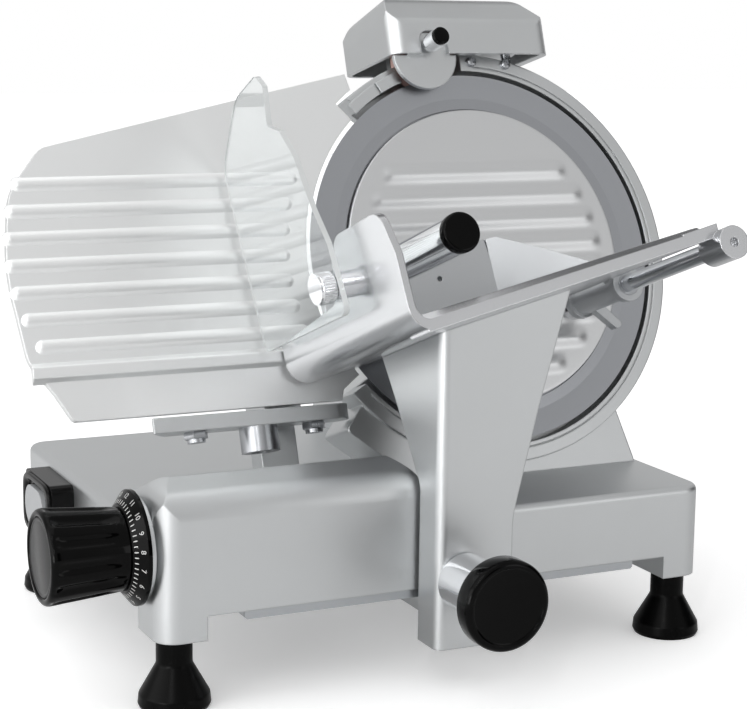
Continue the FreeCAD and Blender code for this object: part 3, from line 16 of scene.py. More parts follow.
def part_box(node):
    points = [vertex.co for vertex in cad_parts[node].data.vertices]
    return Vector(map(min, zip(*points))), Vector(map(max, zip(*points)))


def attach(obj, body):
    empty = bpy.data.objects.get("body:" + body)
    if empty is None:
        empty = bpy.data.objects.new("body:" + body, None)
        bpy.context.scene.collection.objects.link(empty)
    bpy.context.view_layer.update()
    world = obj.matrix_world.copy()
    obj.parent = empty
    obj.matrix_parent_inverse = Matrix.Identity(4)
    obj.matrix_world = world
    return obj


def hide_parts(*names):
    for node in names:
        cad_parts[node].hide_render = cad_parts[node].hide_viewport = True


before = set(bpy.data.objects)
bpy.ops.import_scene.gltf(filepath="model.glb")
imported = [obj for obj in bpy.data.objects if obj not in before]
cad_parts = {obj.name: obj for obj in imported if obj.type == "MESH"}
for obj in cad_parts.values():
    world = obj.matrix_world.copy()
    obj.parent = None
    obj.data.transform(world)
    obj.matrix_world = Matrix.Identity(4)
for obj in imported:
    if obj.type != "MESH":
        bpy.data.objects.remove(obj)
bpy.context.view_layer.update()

# %% [markdown]
# ## Three frames of the machine
# The blade leans back by 19.5 degrees, and the tray rolls 6.5 degrees further towards its wall.
# Every small piece on them is easier to make flat and then lay into one of these frames, so
# they are written down once as matrices. In both, X runs along the carriage travel, Y goes up
# the face and Z points out of the face. The knob has its own frame, with Z along its shaft.

# %% Frames of the blade, the tray and the knob
MM = 0.001                       # the scene is in metres, its small pieces are written in mm
LEAN, TRAY_ROLL = 19.5, 6.5      # degrees


def place_at(x, y, z):
    """A move, in mm."""
    return Matrix.Translation(Vector((x, y, z)) * MM)


def turn_by(degrees, axis):
    return Matrix.Rotation(math.radians(degrees), 4, axis)


BLADE = place_at(76, -20, 213) @ turn_by(90 - LEAN, "X")
TRAY = BLADE @ turn_by(TRAY_ROLL, "Z")
KNOB = place_at(-167.3, -97, 82) @ turn_by(-90, "Y")
print("blade centre, mm:", [round(v / MM) for v in BLADE.translation])

# %% [markdown]
# ## The camera
# It stands low on the operator's left, about a metre away, so that the base shows its front and
# its left end, and the round blade turns into a slight ellipse. Its turn is built from three
# angles: round the machine, down to it, and a small roll. The long lens keeps the far side of
# the base nearly as large as the near one.

# %% Camera
CAMERA_PLACE = Vector((-0.4575, -0.9891, 0.3512))      # metres
ASIDE, DOWN, ROLL = math.radians(25.44), math.radians(10.20), math.radians(0.75)
LENS, SENSOR = 90.7, 36                                # mm

ahead = Vector((math.cos(DOWN) * math.sin(ASIDE), math.cos(DOWN) * math.cos(ASIDE), -math.sin(DOWN)))
right = Vector((math.cos(ASIDE), -math.sin(ASIDE), 0))
above = right.cross(ahead)
rolled_right = right * math.cos(ROLL) + above * math.sin(ROLL)
rolled_above = above * math.cos(ROLL) - right * math.sin(ROLL)
turn = Matrix((rolled_right, rolled_above, -ahead)).transposed()

camera_data = bpy.data.cameras.new("camera")
camera_data.lens = LENS
camera_data.sensor_width = SENSOR
camera_data.sensor_fit = "HORIZONTAL"
camera = bpy.data.objects.new("camera", camera_data)
camera.matrix_world = Matrix.Translation(CAMERA_PLACE) @ turn.to_4x4()
bpy.context.scene.collection.objects.link(camera)
bpy.context.scene.camera = camera
bpy.context.scene.view_settings.view_transform = "Standard"
print("camera lens:", LENS, "mm")

# %% [markdown]
# ## Helpers for materials
# A colour is written as the hex value that a paint card would give. Blender's shaders count in
# linear light, so one function turns it over. A second one adds any node, sets its values and
# plugs in its links, which keeps each recipe down to a line or two a node. The last two are the
# steps that nearly every finish shares: a pattern that makes the roughness drift, as handling
# and tooling do, and the same pattern raised as a fine relief.

# %% Colour and node helpers
def linear(hex_colour):
    parts = [int(hex_colour[i:i + 2], 16) / 255 for i in (1, 3, 5)]
    return tuple(c / 12.92 if c <= 0.04045 else ((c + 0.055) / 1.055) ** 2.4 for c in parts) + (1.0,)


def add_node(tree, kind, values=None, links=None, **settings):
    """Adds a node. A link that is a whole node stands for that node's first output."""
    node = tree.nodes.new(kind)
    for name, value in settings.items():
        setattr(node, name, value)
    for name, value in (values or {}).items():
        node.inputs[name].default_value = value
    for name, source in (links or {}).items():
        tree.links.new(getattr(source, "outputs", [source])[0], node.inputs[name])
    return node


def new_finish(name, **shader_values):
    """Starts a material. Specular_IOR_Level=0.1 sets the shader's socket of that name."""
    finish = bpy.data.materials.new(name)
    finish.use_nodes = True
    tree = finish.node_tree
    shader = tree.nodes["Principled BSDF"]
    for label, value in shader_values.items():
        shader.inputs[label.replace("_", " ")].default_value = value
    return finish, tree, shader


print("grey card #C8C8C8 in linear light:", round(linear("#C8C8C8")[0], 3))

# %% Roughness and relief from a pattern
RELIEF_MM = 0.1                  # between the lowest and the highest point of a finish's skin


def vary_roughness(tree, shader, pattern, least, most):
    shade = add_node(tree, "ShaderNodeMapRange", {"To Min": least, "To Max": most}, {"Value": pattern})
    tree.links.new(shade.outputs[0], shader.inputs["Roughness"])


def raise_relief(tree, shader, pattern, strength, depth_mm=RELIEF_MM, edge_mm=0):
    """Raises a pattern as a fine skin. With edge_mm, a Bevel node rounds the light on the edges."""
    skin = add_node(tree, "ShaderNodeBump", {"Strength": strength, "Distance": depth_mm * MM},
                    {"Height": pattern})
    if edge_mm:
        edge = add_node(tree, "ShaderNodeBevel", {"Radius": edge_mm * MM}, samples=4)
        tree.links.new(edge.outputs[0], skin.inputs["Normal"])
    tree.links.new(skin.outputs[0], shader.inputs["Normal"])


print("relief of most finishes, mm:", RELIEF_MM)

# %% [markdown]
# ## The floor
# The table under the machine is a plain pale sheet that only has to catch the shadow. It has a
# glow of its own, so that it runs out into pure white a metre away. Near the machine the glow is
# lower, which paints a wide soft shade round it, and where something stands close over the floor
# an Ambient Occlusion node takes it down further: a painted shade under the machine, laid over the
# real shadow. The glow lights nothing, and metal mirrors only a third of it.

# %% Floor
GLOW_START, GLOW_END = 0.3, 0.9        # metres from the middle between which the glow rises to 1
# The lower glow near the machine and its smaller share under things close over the floor paint shade onto the
# table.
GLOW_NEAR_PAINTED_SHADE, GLOW_UNDER_PAINTED_SHADE = 0.66, 0.45    # glow beside the machine, and its share right under it
PAINTED_SHADE_REACH = 0.16                      # metres over the floor within which a thing is a roof
GLOW_MIRRORED = 0.3


def flat_sheet(name, width, depth, place):
    mesh = bpy.data.meshes.new(name)
    x, y = width / 2, depth / 2
    mesh.from_pydata([(-x, -y, 0), (x, -y, 0), (x, y, 0), (-x, y, 0)], [], [(0, 1, 2, 3)])
    mesh.transform(place)
    sheet = bpy.data.objects.new(name, mesh)
    bpy.context.scene.collection.objects.link(sheet)
    return sheet


floor = flat_sheet("floor", 14, 14, Matrix.Identity(4))
floor_finish, tree, shader = new_finish("matt_white_table", Base_Color=linear("#E9E9E9"), Roughness=0.9,
                                        Specular_IOR_Level=0.1)
ray = add_node(tree, "ShaderNodeLightPath").outputs
seen = add_node(tree, "ShaderNodeMath", {1: GLOW_MIRRORED},
                {0: ray["Is Glossy Ray"], 2: ray["Is Camera Ray"]}, operation="MULTIPLY_ADD")
spot = add_node(tree, "ShaderNodeTexCoord").outputs["Object"]
away = add_node(tree, "ShaderNodeVectorMath", links={0: spot}, operation="LENGTH").outputs["Value"]
# Painted shade round the machine: the glow is lower near it and rises to white further out.
rise = add_node(tree, "ShaderNodeMapRange",
                {"From Min": GLOW_START, "From Max": GLOW_END, "To Min": GLOW_NEAR_PAINTED_SHADE, "To Max": 1.0},
                {"Value": away})
# Painted shade under the machine: the Ambient Occlusion node lowers the glow where something stands close over
# the floor.
roof = add_node(tree, "ShaderNodeAmbientOcclusion", {"Distance": PAINTED_SHADE_REACH}, samples=8).outputs["AO"]
painted_shade_share = add_node(tree, "ShaderNodeMapRange", {"From Min": 0.1, "To Min": GLOW_UNDER_PAINTED_SHADE}, {"Value": roof})
lit = add_node(tree, "ShaderNodeMath", links={0: rise, 1: painted_shade_share}, operation="MULTIPLY")
glow = add_node(tree, "ShaderNodeEmission", {"Color": linear("#FFFFFF")}, {"Strength": lit})
both = add_node(tree, "ShaderNodeAddShader", links={0: shader, 1: glow})
chosen = add_node(tree, "ShaderNodeMixShader", links={0: seen, 1: shader, 2: both})
tree.links.new(chosen.outputs[0], tree.nodes["Material Output"].inputs["Surface"])
floor.data.materials.append(floor_finish)
print("floor nodes:", len(tree.nodes))

# %% [markdown]
# ## The white room
# The world is pure white where the camera or the clear acrylic looks at it. Metal mirrors it at
# two thirds, and it lights the machine at a third, so that the lamps can still model the forms
# and the pale metal doesn't burn out.

# %% World
ROOM_MIRRORED, ROOM_LIGHT = 0.66, 0.32
world = bpy.data.worlds.new("white_room")
world.use_nodes = True
bpy.context.scene.world = world
tree = world.node_tree
backdrop = tree.nodes["Background"]
backdrop.inputs["Color"].default_value = (1, 1, 1, 1)
ray = add_node(tree, "ShaderNodeLightPath").outputs
seen = add_node(tree, "ShaderNodeMath", operation="MAXIMUM",
                links={0: ray["Is Camera Ray"], 1: ray["Is Transmission Ray"]})
mirrored = add_node(tree, "ShaderNodeMapRange", {"To Min": ROOM_LIGHT, "To Max": ROOM_MIRRORED},
                    {"Value": ray["Is Glossy Ray"]})
level = add_node(tree, "ShaderNodeMix", {3: 1.0}, {0: seen, 2: mirrored})
tree.links.new(level.outputs[0], backdrop.inputs["Strength"])
print("world:", world.name)

# %% [markdown]
# ## Lamps and dark cards
# Bare metal shows only what it reflects, and in an all-white room it would look like flat paint.
# So the soft boxes differ in size and power, with most of the light from the left, and a narrow
# strip draws the sharp white streaks on the knobs. Three dark cards stand out of sight round the
# table. They show in reflections alone, and give the cast metal its grey slopes and the chrome
# its dark bands.

# %% Lamps
MIDDLE = Vector((0, 0, 0.16))          # metres; lamps and cards look at it


def aimed(place, axis):
    return (MIDDLE - Vector(place)).to_track_quat(axis, "Y")


def soft_box(name, place, size, watts):
    lamp = bpy.data.lights.new(name, "AREA")
    lamp.shape = "RECTANGLE"
    lamp.size, lamp.size_y = size
    lamp.energy = watts
    box = bpy.data.objects.new(name, lamp)
    box.location = place
    box.rotation_euler = aimed(place, "-Z").to_euler()
    bpy.context.scene.collection.objects.link(box)


# place and size in metres, power in watts
soft_box("overhead", (-0.3, 0.1, 1.5), (1.6, 1.2), 4.5)
soft_box("left_front", (-1.9, -0.45, 1.3), (2.0, 1.8), 11)
soft_box("right_front", (1.0, -1.7, 0.45), (0.5, 0.7), 1.7)
soft_box("left_low", (-1.6, -0.2, 0.35), (1.8, 1.0), 9)
soft_box("left_near", (-1.35, -1.0, 0.15), (0.5, 0.5), 6)
soft_box("strip", (-0.9, -1.3, 1.2), (0.03, 1.2), 4.5)
print("lamps:", [lamp.name for lamp in bpy.data.lights])

# %% Dark cards
def dark_card(name, place, size, grey):
    sheet = flat_sheet(name, *size, Matrix.Translation(place) @ aimed(place, "Z").to_matrix().to_4x4())
    sheet.visible_camera = sheet.visible_diffuse = False
    sheet.visible_transmission = sheet.visible_shadow = False
    felt, _, _ = new_finish(name + "_felt", Base_Color=linear(grey), Roughness=1.0, Specular_IOR_Level=0.0)
    sheet.data.materials.append(felt)
    print(name, "of grey", grey)


dark_card("card_right", (1.5, -0.35, 0.30), (1.3, 1.1), "#3C3C3E")
dark_card("card_front", (0.35, -2.0, 0.3), (0.5, 1.4), "#4A4A4C")
dark_card("card_high", (0.45, 0.64, 1.14), (0.5, 0.5), "#5A5A5C")

# %% [markdown]
# ## Cast aluminium
# The base, the blade frame, the housing and the carriage arm are die-cast aluminium, blasted
# with fine grit and anodised clear. To the eye that is a soft silver with no mirror in it: a
# wide highlight, and a skin as fine as an eggshell. The grit marks are about 0.3 mm across; they
# are drawn at 0.7 mm so that they show at all. A slow cloud makes the silver a little lighter
# and darker from place to place. A Bevel node rounds the light on every edge, which a cast edge
# always has.

# %% Cast aluminium finish
CAST_COLOUR, CAST_ROUGH = linear("#CDCFD0"), 0.40
CLOUD_MM, GRIT_MM = 45, 0.7

cast_aluminium, tree, shader = new_finish("cast_aluminium_blasted", Base_Color=CAST_COLOUR, Metallic=1.0,
                                          Roughness=CAST_ROUGH)
spot = add_node(tree, "ShaderNodeTexCoord").outputs["Object"]
cloud = add_node(tree, "ShaderNodeTexNoise", {"Scale": 1000 / CLOUD_MM, "Detail": 3.0, "Roughness": 0.6},
                 {"Vector": spot})
vary_roughness(tree, shader, cloud, CAST_ROUGH - 0.05, CAST_ROUGH + 0.05)
value = add_node(tree, "ShaderNodeMapRange", {"To Min": 0.955, "To Max": 1.03}, {"Value": cloud})
tint = add_node(tree, "ShaderNodeHueSaturation", {"Color": CAST_COLOUR}, {"Value": value})
tree.links.new(tint.outputs[0], shader.inputs["Base Color"])
grit = add_node(tree, "ShaderNodeTexNoise", {"Scale": 1000 / GRIT_MM, "Detail": 2.0}, {"Vector": spot})
raise_relief(tree, shader, grit, strength=0.16, edge_mm=1.2)
print("cast finish:", cast_aluminium.name)

# %% [markdown]
# ## Rolled aluminium plate
# The blade's cover plate, the gauge plate and the slice deflector are rolled aluminium, etched
# and anodised. The rolls leave faint parallel lines along the plate, so a noise stretched a
# hundred times along X gives its grain: lines about 0.4 mm apart. The gauge plate takes a paler,
# nearly white copy of the plate colour, which paints the strong light that falls on it. The tray is
# the same metal buffed brighter, so that things mirror in it as soft blurs, and the pusher is left satin.

# %% Rolled plate finishes
LINES_MM, STREAK_MM = 0.4, 60


def rolled_finish(name, colour, rough, drift, relief=0.06):
    finish, tree, shader = new_finish(name, Base_Color=linear(colour), Metallic=1.0, Roughness=rough)
    spot = add_node(tree, "ShaderNodeTexCoord").outputs["Object"]
    lay = add_node(tree, "ShaderNodeMapping",
                   {"Rotation": (math.radians(LEAN - 90), 0, 0), "Scale": (0.01, 1, 1)}, {"Vector": spot})
    lines = add_node(tree, "ShaderNodeTexNoise", {"Scale": 1000 / LINES_MM, "Detail": 3.0}, {"Vector": lay})
    streak = add_node(tree, "ShaderNodeTexNoise", {"Scale": 1000 / STREAK_MM, "Detail": 2.0},
                      {"Vector": spot})
    both = add_node(tree, "ShaderNodeMix", {0: 0.4}, {2: lines, 3: streak})
    vary_roughness(tree, shader, both, rough - drift, rough + drift)
    raise_relief(tree, shader, lines, strength=relief, edge_mm=0.8)
    return finish


# name, colour, roughness, its drift, strength of the relief
plate_aluminium = rolled_finish("plate_aluminium_etched", "#D6D7D8", 0.38, 0.06)
# The gauge plate's near-white colour is painted light: a paler copy of the plate colour for the strong light
# that falls on it.
gauge_plate_painted_light = rolled_finish("gauge_aluminium_anodised", "#F2F3F3", 0.42, 0.05)
tray_aluminium = rolled_finish("tray_aluminium_buffed", "#D0D1D3", 0.24, 0.04, 0.02)
pusher_aluminium = rolled_finish("pusher_aluminium_satin", "#BFC1C3", 0.44, 0.05, 0.03)
rolled = (plate_aluminium, gauge_plate_painted_light, tray_aluminium, pusher_aluminium)
print("plate finishes:", [finish.name for finish in rolled])

# %% [markdown]
# ## Blade steel
# The blade is hardened carbon steel, turned on a lathe and then ground, so its marks are circles
# round the shaft. Object coordinates are turned into the blade's own frame, their distance from
# the axis is taken, and a noise along that distance gives rings 0.5 mm apart. To the eye the steel
# is a smooth dark grey beside the paler plates, and only a low light picks out the rings.

# %% Blade steel finish
RINGS_MM = 0.5
blade_steel, tree, shader = new_finish("blade_steel_ground", Base_Color=linear("#A4A6AA"), Metallic=1.0)
spot = add_node(tree, "ShaderNodeTexCoord").outputs["Object"]
centre = add_node(tree, "ShaderNodeMapping",
                  {"Location": tuple(BLADE.translation), "Rotation": (math.radians(90 - LEAN), 0, 0)},
                  {"Vector": spot}, vector_type="TEXTURE")
x, y, _ = add_node(tree, "ShaderNodeSeparateXYZ", links={0: centre}).outputs
flat = add_node(tree, "ShaderNodeCombineXYZ", links={0: x, 1: y})
radius = add_node(tree, "ShaderNodeVectorMath", links={0: flat}, operation="LENGTH").outputs["Value"]
rings = add_node(tree, "ShaderNodeTexNoise", {"Scale": 1000 / RINGS_MM, "Detail": 2.0}, {"W": radius},
                 noise_dimensions="1D")
vary_roughness(tree, shader, rings, least=0.28, most=0.40)
raise_relief(tree, shader, rings, strength=0.12)
print("blade finish:", blade_steel.name)

# %% [markdown]
# ## Small metals
# Shafts and guide rods are ground steel, screws are plain steel, the handle and the neck of the
# lock knob are chrome plated, the bushes are bronze and the pulleys zinc. They share a recipe: a
# colour, a base roughness, and a fine noise that makes the roughness drift as handling does.

# %% Small metal finishes
def bare_metal(name, colour, rough, drift, speck_mm):
    finish, tree, shader = new_finish(name, Base_Color=linear(colour), Metallic=1.0, Roughness=rough)
    spot = add_node(tree, "ShaderNodeTexCoord").outputs["Object"]
    speck = add_node(tree, "ShaderNodeTexNoise", {"Scale": 1000 / speck_mm, "Detail": 3.0}, {"Vector": spot})
    vary_roughness(tree, shader, speck, max(rough - drift, 0.02), rough + drift)
    raise_relief(tree, shader, speck, strength=0.05, depth_mm=0.05)
    return finish


# name, colour, roughness, its drift, size of the specks in mm
chrome = bare_metal("chrome_plate", "#E6E7E9", 0.07, 0.02, 9.0)                  # hard white and black bands
polished_steel = bare_metal("polished_steel", "#C9CBCE", 0.14, 0.04, 5.0)        # bands with soft edges
plain_steel = bare_metal("plain_steel", "#A9ABAE", 0.30, 0.06, 3.0)              # a grey sheen
sheet_steel = bare_metal("sheet_steel_zinc_plated", "#B4B7BA", 0.33, 0.08, 12)   # pale, with wide clouds
zinc = bare_metal("zinc_casting", "#9DA0A3", 0.42, 0.06, 4.0)                    # dull and darker
bronze = bare_metal("bearing_bronze", "#B08A4E", 0.32, 0.06, 2.0)                # warm, with a soft shine
small_metals = (chrome, polished_steel, plain_steel, sheet_steel, zinc, bronze)
print("small metals:", [finish.name for finish in small_metals])

# %% [markdown]
# ## Plastics and rubber
# The knobs are a hard black phenolic with a moulded gloss: they show the lamps as sharp white
# streaks. The switch case is a less glossy black, and the feet are rubber with a soft sheen. A
# little noise in the roughness is what a moulded skin and finger marks leave.

# %% Plastic and rubber finishes
def moulded(name, colour, rough, drift, grain_mm, relief, gloss=0.5):
    finish, tree, shader = new_finish(name, Base_Color=linear(colour), Roughness=rough, IOR=1.5,
                                      Specular_IOR_Level=gloss)
    spot = add_node(tree, "ShaderNodeTexCoord").outputs["Object"]
    grain = add_node(tree, "ShaderNodeTexNoise", {"Scale": 1000 / grain_mm, "Detail": 3.0}, {"Vector": spot})
    vary_roughness(tree, shader, grain, max(rough - drift, 0.03), rough + drift)
    raise_relief(tree, shader, grain, strength=relief, edge_mm=0.7)
    return finish


# name, colour, roughness, its drift, size of the grain in mm, strength of the relief, gloss
black_gloss = moulded("phenolic_black_gloss", "#030303", 0.09, 0.03, 6.0, 0.02, 0.10)   # sharp white streaks
black_satin = moulded("phenolic_black_satin", "#0E0E0F", 0.34, 0.05, 1.0, 0.06, 0.45)   # an even dark grey
black_plastic = moulded("switch_case_black", "#050505", 0.20, 0.04, 1.2, 0.03, 0.16)    # soft-edged streaks
black_rubber = moulded("rubber_black_matt", "#030303", 0.30, 0.06, 1.5, 0.06, 0.08)     # a low, wide sheen
belt_rubber = moulded("belt_rubber", "#1B1A19", 0.65, 0.08, 0.8, 0.30)                  # matt, with a grain
grey_plastic = moulded("switch_button_grey", "#A9ABAD", 0.38, 0.06, 1.5, 0.06)          # a satin light grey
white_plastic = moulded("rail_shoe_acetal", "#E9E8E2", 0.40, 0.05, 2.0, 0.05)           # waxy and warm white
motor_grey = moulded("motor_enamel_grey", "#6E7276", 0.45, 0.06, 1.0, 0.12)             # paint, orange peel
stone = moulded("sharpening_stone", "#B99A93", 0.90, 0.05, 0.5, 0.80)                   # coarse, no shine
dial_white = moulded("dial_paint_white", "#E8E8E6", 0.45, 0.05, 1.5, 0.04)              # chalky white paint
plastics = (black_gloss, black_satin, black_plastic, black_rubber, belt_rubber, grey_plastic,
            white_plastic, motor_grey, stone, dial_white)
print("moulded finishes:", len(plastics))

# %% [markdown]
# ## Clear acrylic
# The hand guard is a 3 mm sheet of cast acrylic. Its faces are polished and nearly vanish; its
# sawn edge is frosted and reads as a light grey line all round. Both are one material: where the
# surface looks along the sheet's own axis it lets the light through, and on the edge it does not.

# %% Acrylic finish
EDGE_ON, FACE_ON = 0.5, 0.9      # how squarely a surface looks along the sheet's axis
HAZE_MM = 20

clear_acrylic, tree, shader = new_finish("acrylic_clear", Base_Color=linear("#F6F9F9"), IOR=1.49,
                                         Roughness=0.03)
spot = add_node(tree, "ShaderNodeTexCoord").outputs
sheet_axis = tuple(TRAY.to_3x3() @ Vector((1, 0, 0)))
along = add_node(tree, "ShaderNodeVectorMath", {1: sheet_axis}, {0: spot["Normal"]}, operation="DOT_PRODUCT")
square = add_node(tree, "ShaderNodeMath", links={0: along.outputs["Value"]}, operation="ABSOLUTE")
clear = add_node(tree, "ShaderNodeMapRange",
                 {"From Min": EDGE_ON, "From Max": FACE_ON, "To Min": 0.25, "To Max": 1.0}, {"Value": square})
tree.links.new(clear.outputs[0], shader.inputs["Transmission Weight"])
haze = add_node(tree, "ShaderNodeTexNoise", {"Scale": 1000 / HAZE_MM, "Detail": 4.0},
                {"Vector": spot["Object"]})
frost = add_node(tree, "ShaderNodeMapRange",
                 {"From Min": EDGE_ON, "From Max": FACE_ON, "To Min": 0.4, "To Max": 0.0}, {"Value": square})
shade = add_node(tree, "ShaderNodeMath", {2: 0.02}, {0: haze, 1: frost}, operation="MULTIPLY_ADD")
tree.links.new(shade.outputs[0], shader.inputs["Roughness"])
print("clear along", [round(v, 2) for v in sheet_axis])

# %% [markdown]
# ## Each node gets its finish
# The frame brings one object for each CAD node. Its mesh stays as it is, and only the material
# in its slots changes.

# %% Dress the CAD nodes
wardrobe = {
    cast_aluminium: "base_casting frame_casting ring_end_blocks motor_housing gauge_bracket carriage_foot "
                    "carriage_arm sharpener_cover sharpener_carrier",
    plate_aluminium: "blade_cover_plate slice_deflector",
    gauge_plate_painted_light: "gauge_plate",
    tray_aluminium: "food_tray",
    pusher_aluminium: "pusher",
    blade_steel: "blade",
    plain_steel: "base_fasteners knob_shaft hub_bearings blade_screws blade_hub motor_rotor cover_tie_rod "
                 "gauge_bolts follower_pin lock_stud tray_screws pusher_teeth pusher_bushes",
    polished_steel: "carriage_rod gauge_slide_bar pusher_rod sharpener_posts",
    sheet_steel: "bottom_plate guide_rail follower_arm",
    chrome: "lock_neck pusher_handle guard_fixing hone_button grind_button",
    zinc: "knob_cam hub_pulley motor_pulley",
    bronze: "guide_bushing slide_bushes",
    black_rubber: "rubber_feet",
    belt_rubber: "drive_belt",
    black_gloss: "knob_dial knob_grip tie_rod_knob lock_knob handle_cap",
    black_plastic: "cable_gland switch_box",
    grey_plastic: "switch_button",
    white_plastic: "rail_shoe",
    motor_grey: "motor_body",
    clear_acrylic: "hand_guard",
    stone: "hone_stone grind_stone",
}
dressed = 0
for finish, names in wardrobe.items():
    for name in names.split():
        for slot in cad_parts[name].material_slots:
            slot.material = finish
        dressed += 1
print("nodes dressed:", dressed, "of", len(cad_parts))

# %% [markdown]
# ## Pieces that the solids leave out
# A solid carries the size, the finish carries the skin, and between the two are the small forms
# that the eye looks for: the printed dial, the soft flutes of a moulded knob, a knurl. Each one is
# built flat, near zero, and then laid into its frame, so its mesh holds its place and its object
# stays at the origin. Turned forms come from one function that spins an outline round Z.

# %% Helpers for pieces
SHARP = math.radians(35)         # an edge that turns by more stays sharp
SEAM = 0.001 * MM                # points nearer than this are one point


def plain_mesh(name, shape):
    mesh = bpy.data.meshes.new(name)
    shape.to_mesh(mesh)
    shape.free()
    mesh.shade_smooth()
    mesh.set_sharp_from_angle(angle=SHARP)
    return mesh


def lathe(name, outline, steps):
    """Spins an outline of (radius, height) points in mm round Z."""
    shape = bmesh.new()
    points = [shape.verts.new((radius * MM, 0, height * MM)) for radius, height in outline]
    lines = [shape.edges.new(pair) for pair in zip(points, points[1:])]
    bmesh.ops.spin(shape, geom=points + lines, axis=(0, 0, 1), cent=(0, 0, 0), steps=steps, angle=math.tau)
    bmesh.ops.remove_doubles(shape, verts=shape.verts, dist=SEAM)
    bmesh.ops.recalc_face_normals(shape, faces=shape.faces)
    return plain_mesh(name, shape)


def add_piece(name, mesh, place, finish, body):
    mesh.transform(place)
    mesh.materials.clear()
    mesh.materials.append(finish)
    piece = bpy.data.objects.new(name, mesh)
    bpy.context.scene.collection.objects.link(piece)
    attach(piece, body)
    print(name, "faces:", len(mesh.polygons))
    return piece


print("edges stay sharp over", round(math.degrees(SHARP)), "degrees")

# %% [markdown]
# ## Node trees that shape and repeat
# Three rules come back on this machine: flutes pressed into a turned body, copies of one small
# form, and ribs pressed into a plate. Each is a Geometry Nodes tree with named inputs, and it
# ends by making its copies real and giving them their material. A function runs a tree over a
# mesh and hands back the plain result.

# %% Building and running a tree
def new_tree(name, counts, sizes):
    """Starts a tree with its named inputs: whole numbers, then lengths and angles."""
    tree = bpy.data.node_groups.new(name, "GeometryNodeTree")
    kinds = [("Geometry", "Geometry")] + [(label, "Int") for label in counts]
    kinds += [(label, "Float") for label in sizes] + [("Material", "Material")]
    for label, kind in kinds:
        tree.interface.new_socket(label, in_out="INPUT", socket_type="NodeSocket" + kind)
    tree.interface.new_socket("Geometry", in_out="OUTPUT", socket_type="NodeSocketGeometry")
    return tree, add_node(tree, "NodeGroupInput").outputs


def close_tree(tree, given, geometry):
    real = add_node(tree, "GeometryNodeRealizeInstances", links={0: geometry})
    painted = add_node(tree, "GeometryNodeSetMaterial", links={0: real, "Material": given["Material"]})
    add_node(tree, "NodeGroupOutput", links={0: painted})
    print("tree", tree.name, "nodes:", len(tree.nodes))
    return tree


def run_tree(tree, mesh, **values):
    """Runs a tree over a mesh. Half_Width=... sets the input that is named Half Width."""
    holder = bpy.data.objects.new("holder", mesh)
    bpy.context.scene.collection.objects.link(holder)
    step = holder.modifiers.new("tree", "NODES")
    step.node_group = tree
    for item in tree.interface.items_tree:
        if item.in_out == "INPUT" and item.name.replace(" ", "_") in values:
            step[item.identifier] = values[item.name.replace(" ", "_")]
    graph = bpy.context.evaluated_depsgraph_get()
    result = bpy.data.meshes.new_from_object(holder.evaluated_get(graph), depsgraph=graph)
    bpy.data.objects.remove(holder)
    return result


# %% [markdown]
# The first tree presses flutes. The angle round Z times the number of flutes is a wave, and where
# the wave is over the ridge's level the surface moves in towards the axis. Between the low and the
# high end the depth fades in and out, so a flute runs out in a soft scoop.

# %% Tree that presses flutes
tree, given = new_tree("pressed_flutes", ["Count"], ["Depth", "Ridge", "Low", "High", "Fade"])
spot = add_node(tree, "GeometryNodeInputPosition")
x, y, z = add_node(tree, "ShaderNodeSeparateXYZ", links={0: spot}).outputs
angle = add_node(tree, "ShaderNodeMath", links={0: y, 1: x}, operation="ARCTAN2")
phase = add_node(tree, "ShaderNodeMath", links={0: angle, 1: given["Count"]}, operation="MULTIPLY")
wave = add_node(tree, "ShaderNodeMath", links={0: phase}, operation="COSINE")
hollow = add_node(tree, "ShaderNodeMapRange", links={"Value": wave, "From Min": given["Ridge"]},
                  interpolation_type="SMOOTHSTEP")
from_low = add_node(tree, "ShaderNodeMath", links={0: z, 1: given["Low"]}, operation="SUBTRACT")
from_high = add_node(tree, "ShaderNodeMath", links={0: given["High"], 1: z}, operation="SUBTRACT")
nearest = add_node(tree, "ShaderNodeMath", links={0: from_low, 1: from_high}, operation="MINIMUM")
window = add_node(tree, "ShaderNodeMapRange", links={"Value": nearest, "From Max": given["Fade"]},
                  interpolation_type="SMOOTHSTEP")
press = add_node(tree, "ShaderNodeMath", links={0: hollow, 1: window}, operation="MULTIPLY")
inward = add_node(tree, "ShaderNodeMath", links={0: press, 1: given["Depth"]}, operation="MULTIPLY")
flat = add_node(tree, "ShaderNodeCombineXYZ", links={0: x, 1: y})
outward = add_node(tree, "ShaderNodeVectorMath", links={0: flat}, operation="NORMALIZE")
shift = add_node(tree, "ShaderNodeVectorMath", links={0: outward, "Scale": inward}, operation="SCALE")
back = add_node(tree, "ShaderNodeVectorMath", {1: (-1, -1, -1)}, {0: shift}, operation="MULTIPLY")
moved = add_node(tree, "GeometryNodeSetPosition", links={0: given["Geometry"], "Offset": back})
flute_tree = close_tree(tree, given, moved)

# %% [markdown]
# The second tree sets a copy of the small form on each point of a grid, in columns and rows. With
# a grid of no size all copies stand at zero, and the turn, times the number of the copy, fans
# them out round Z.

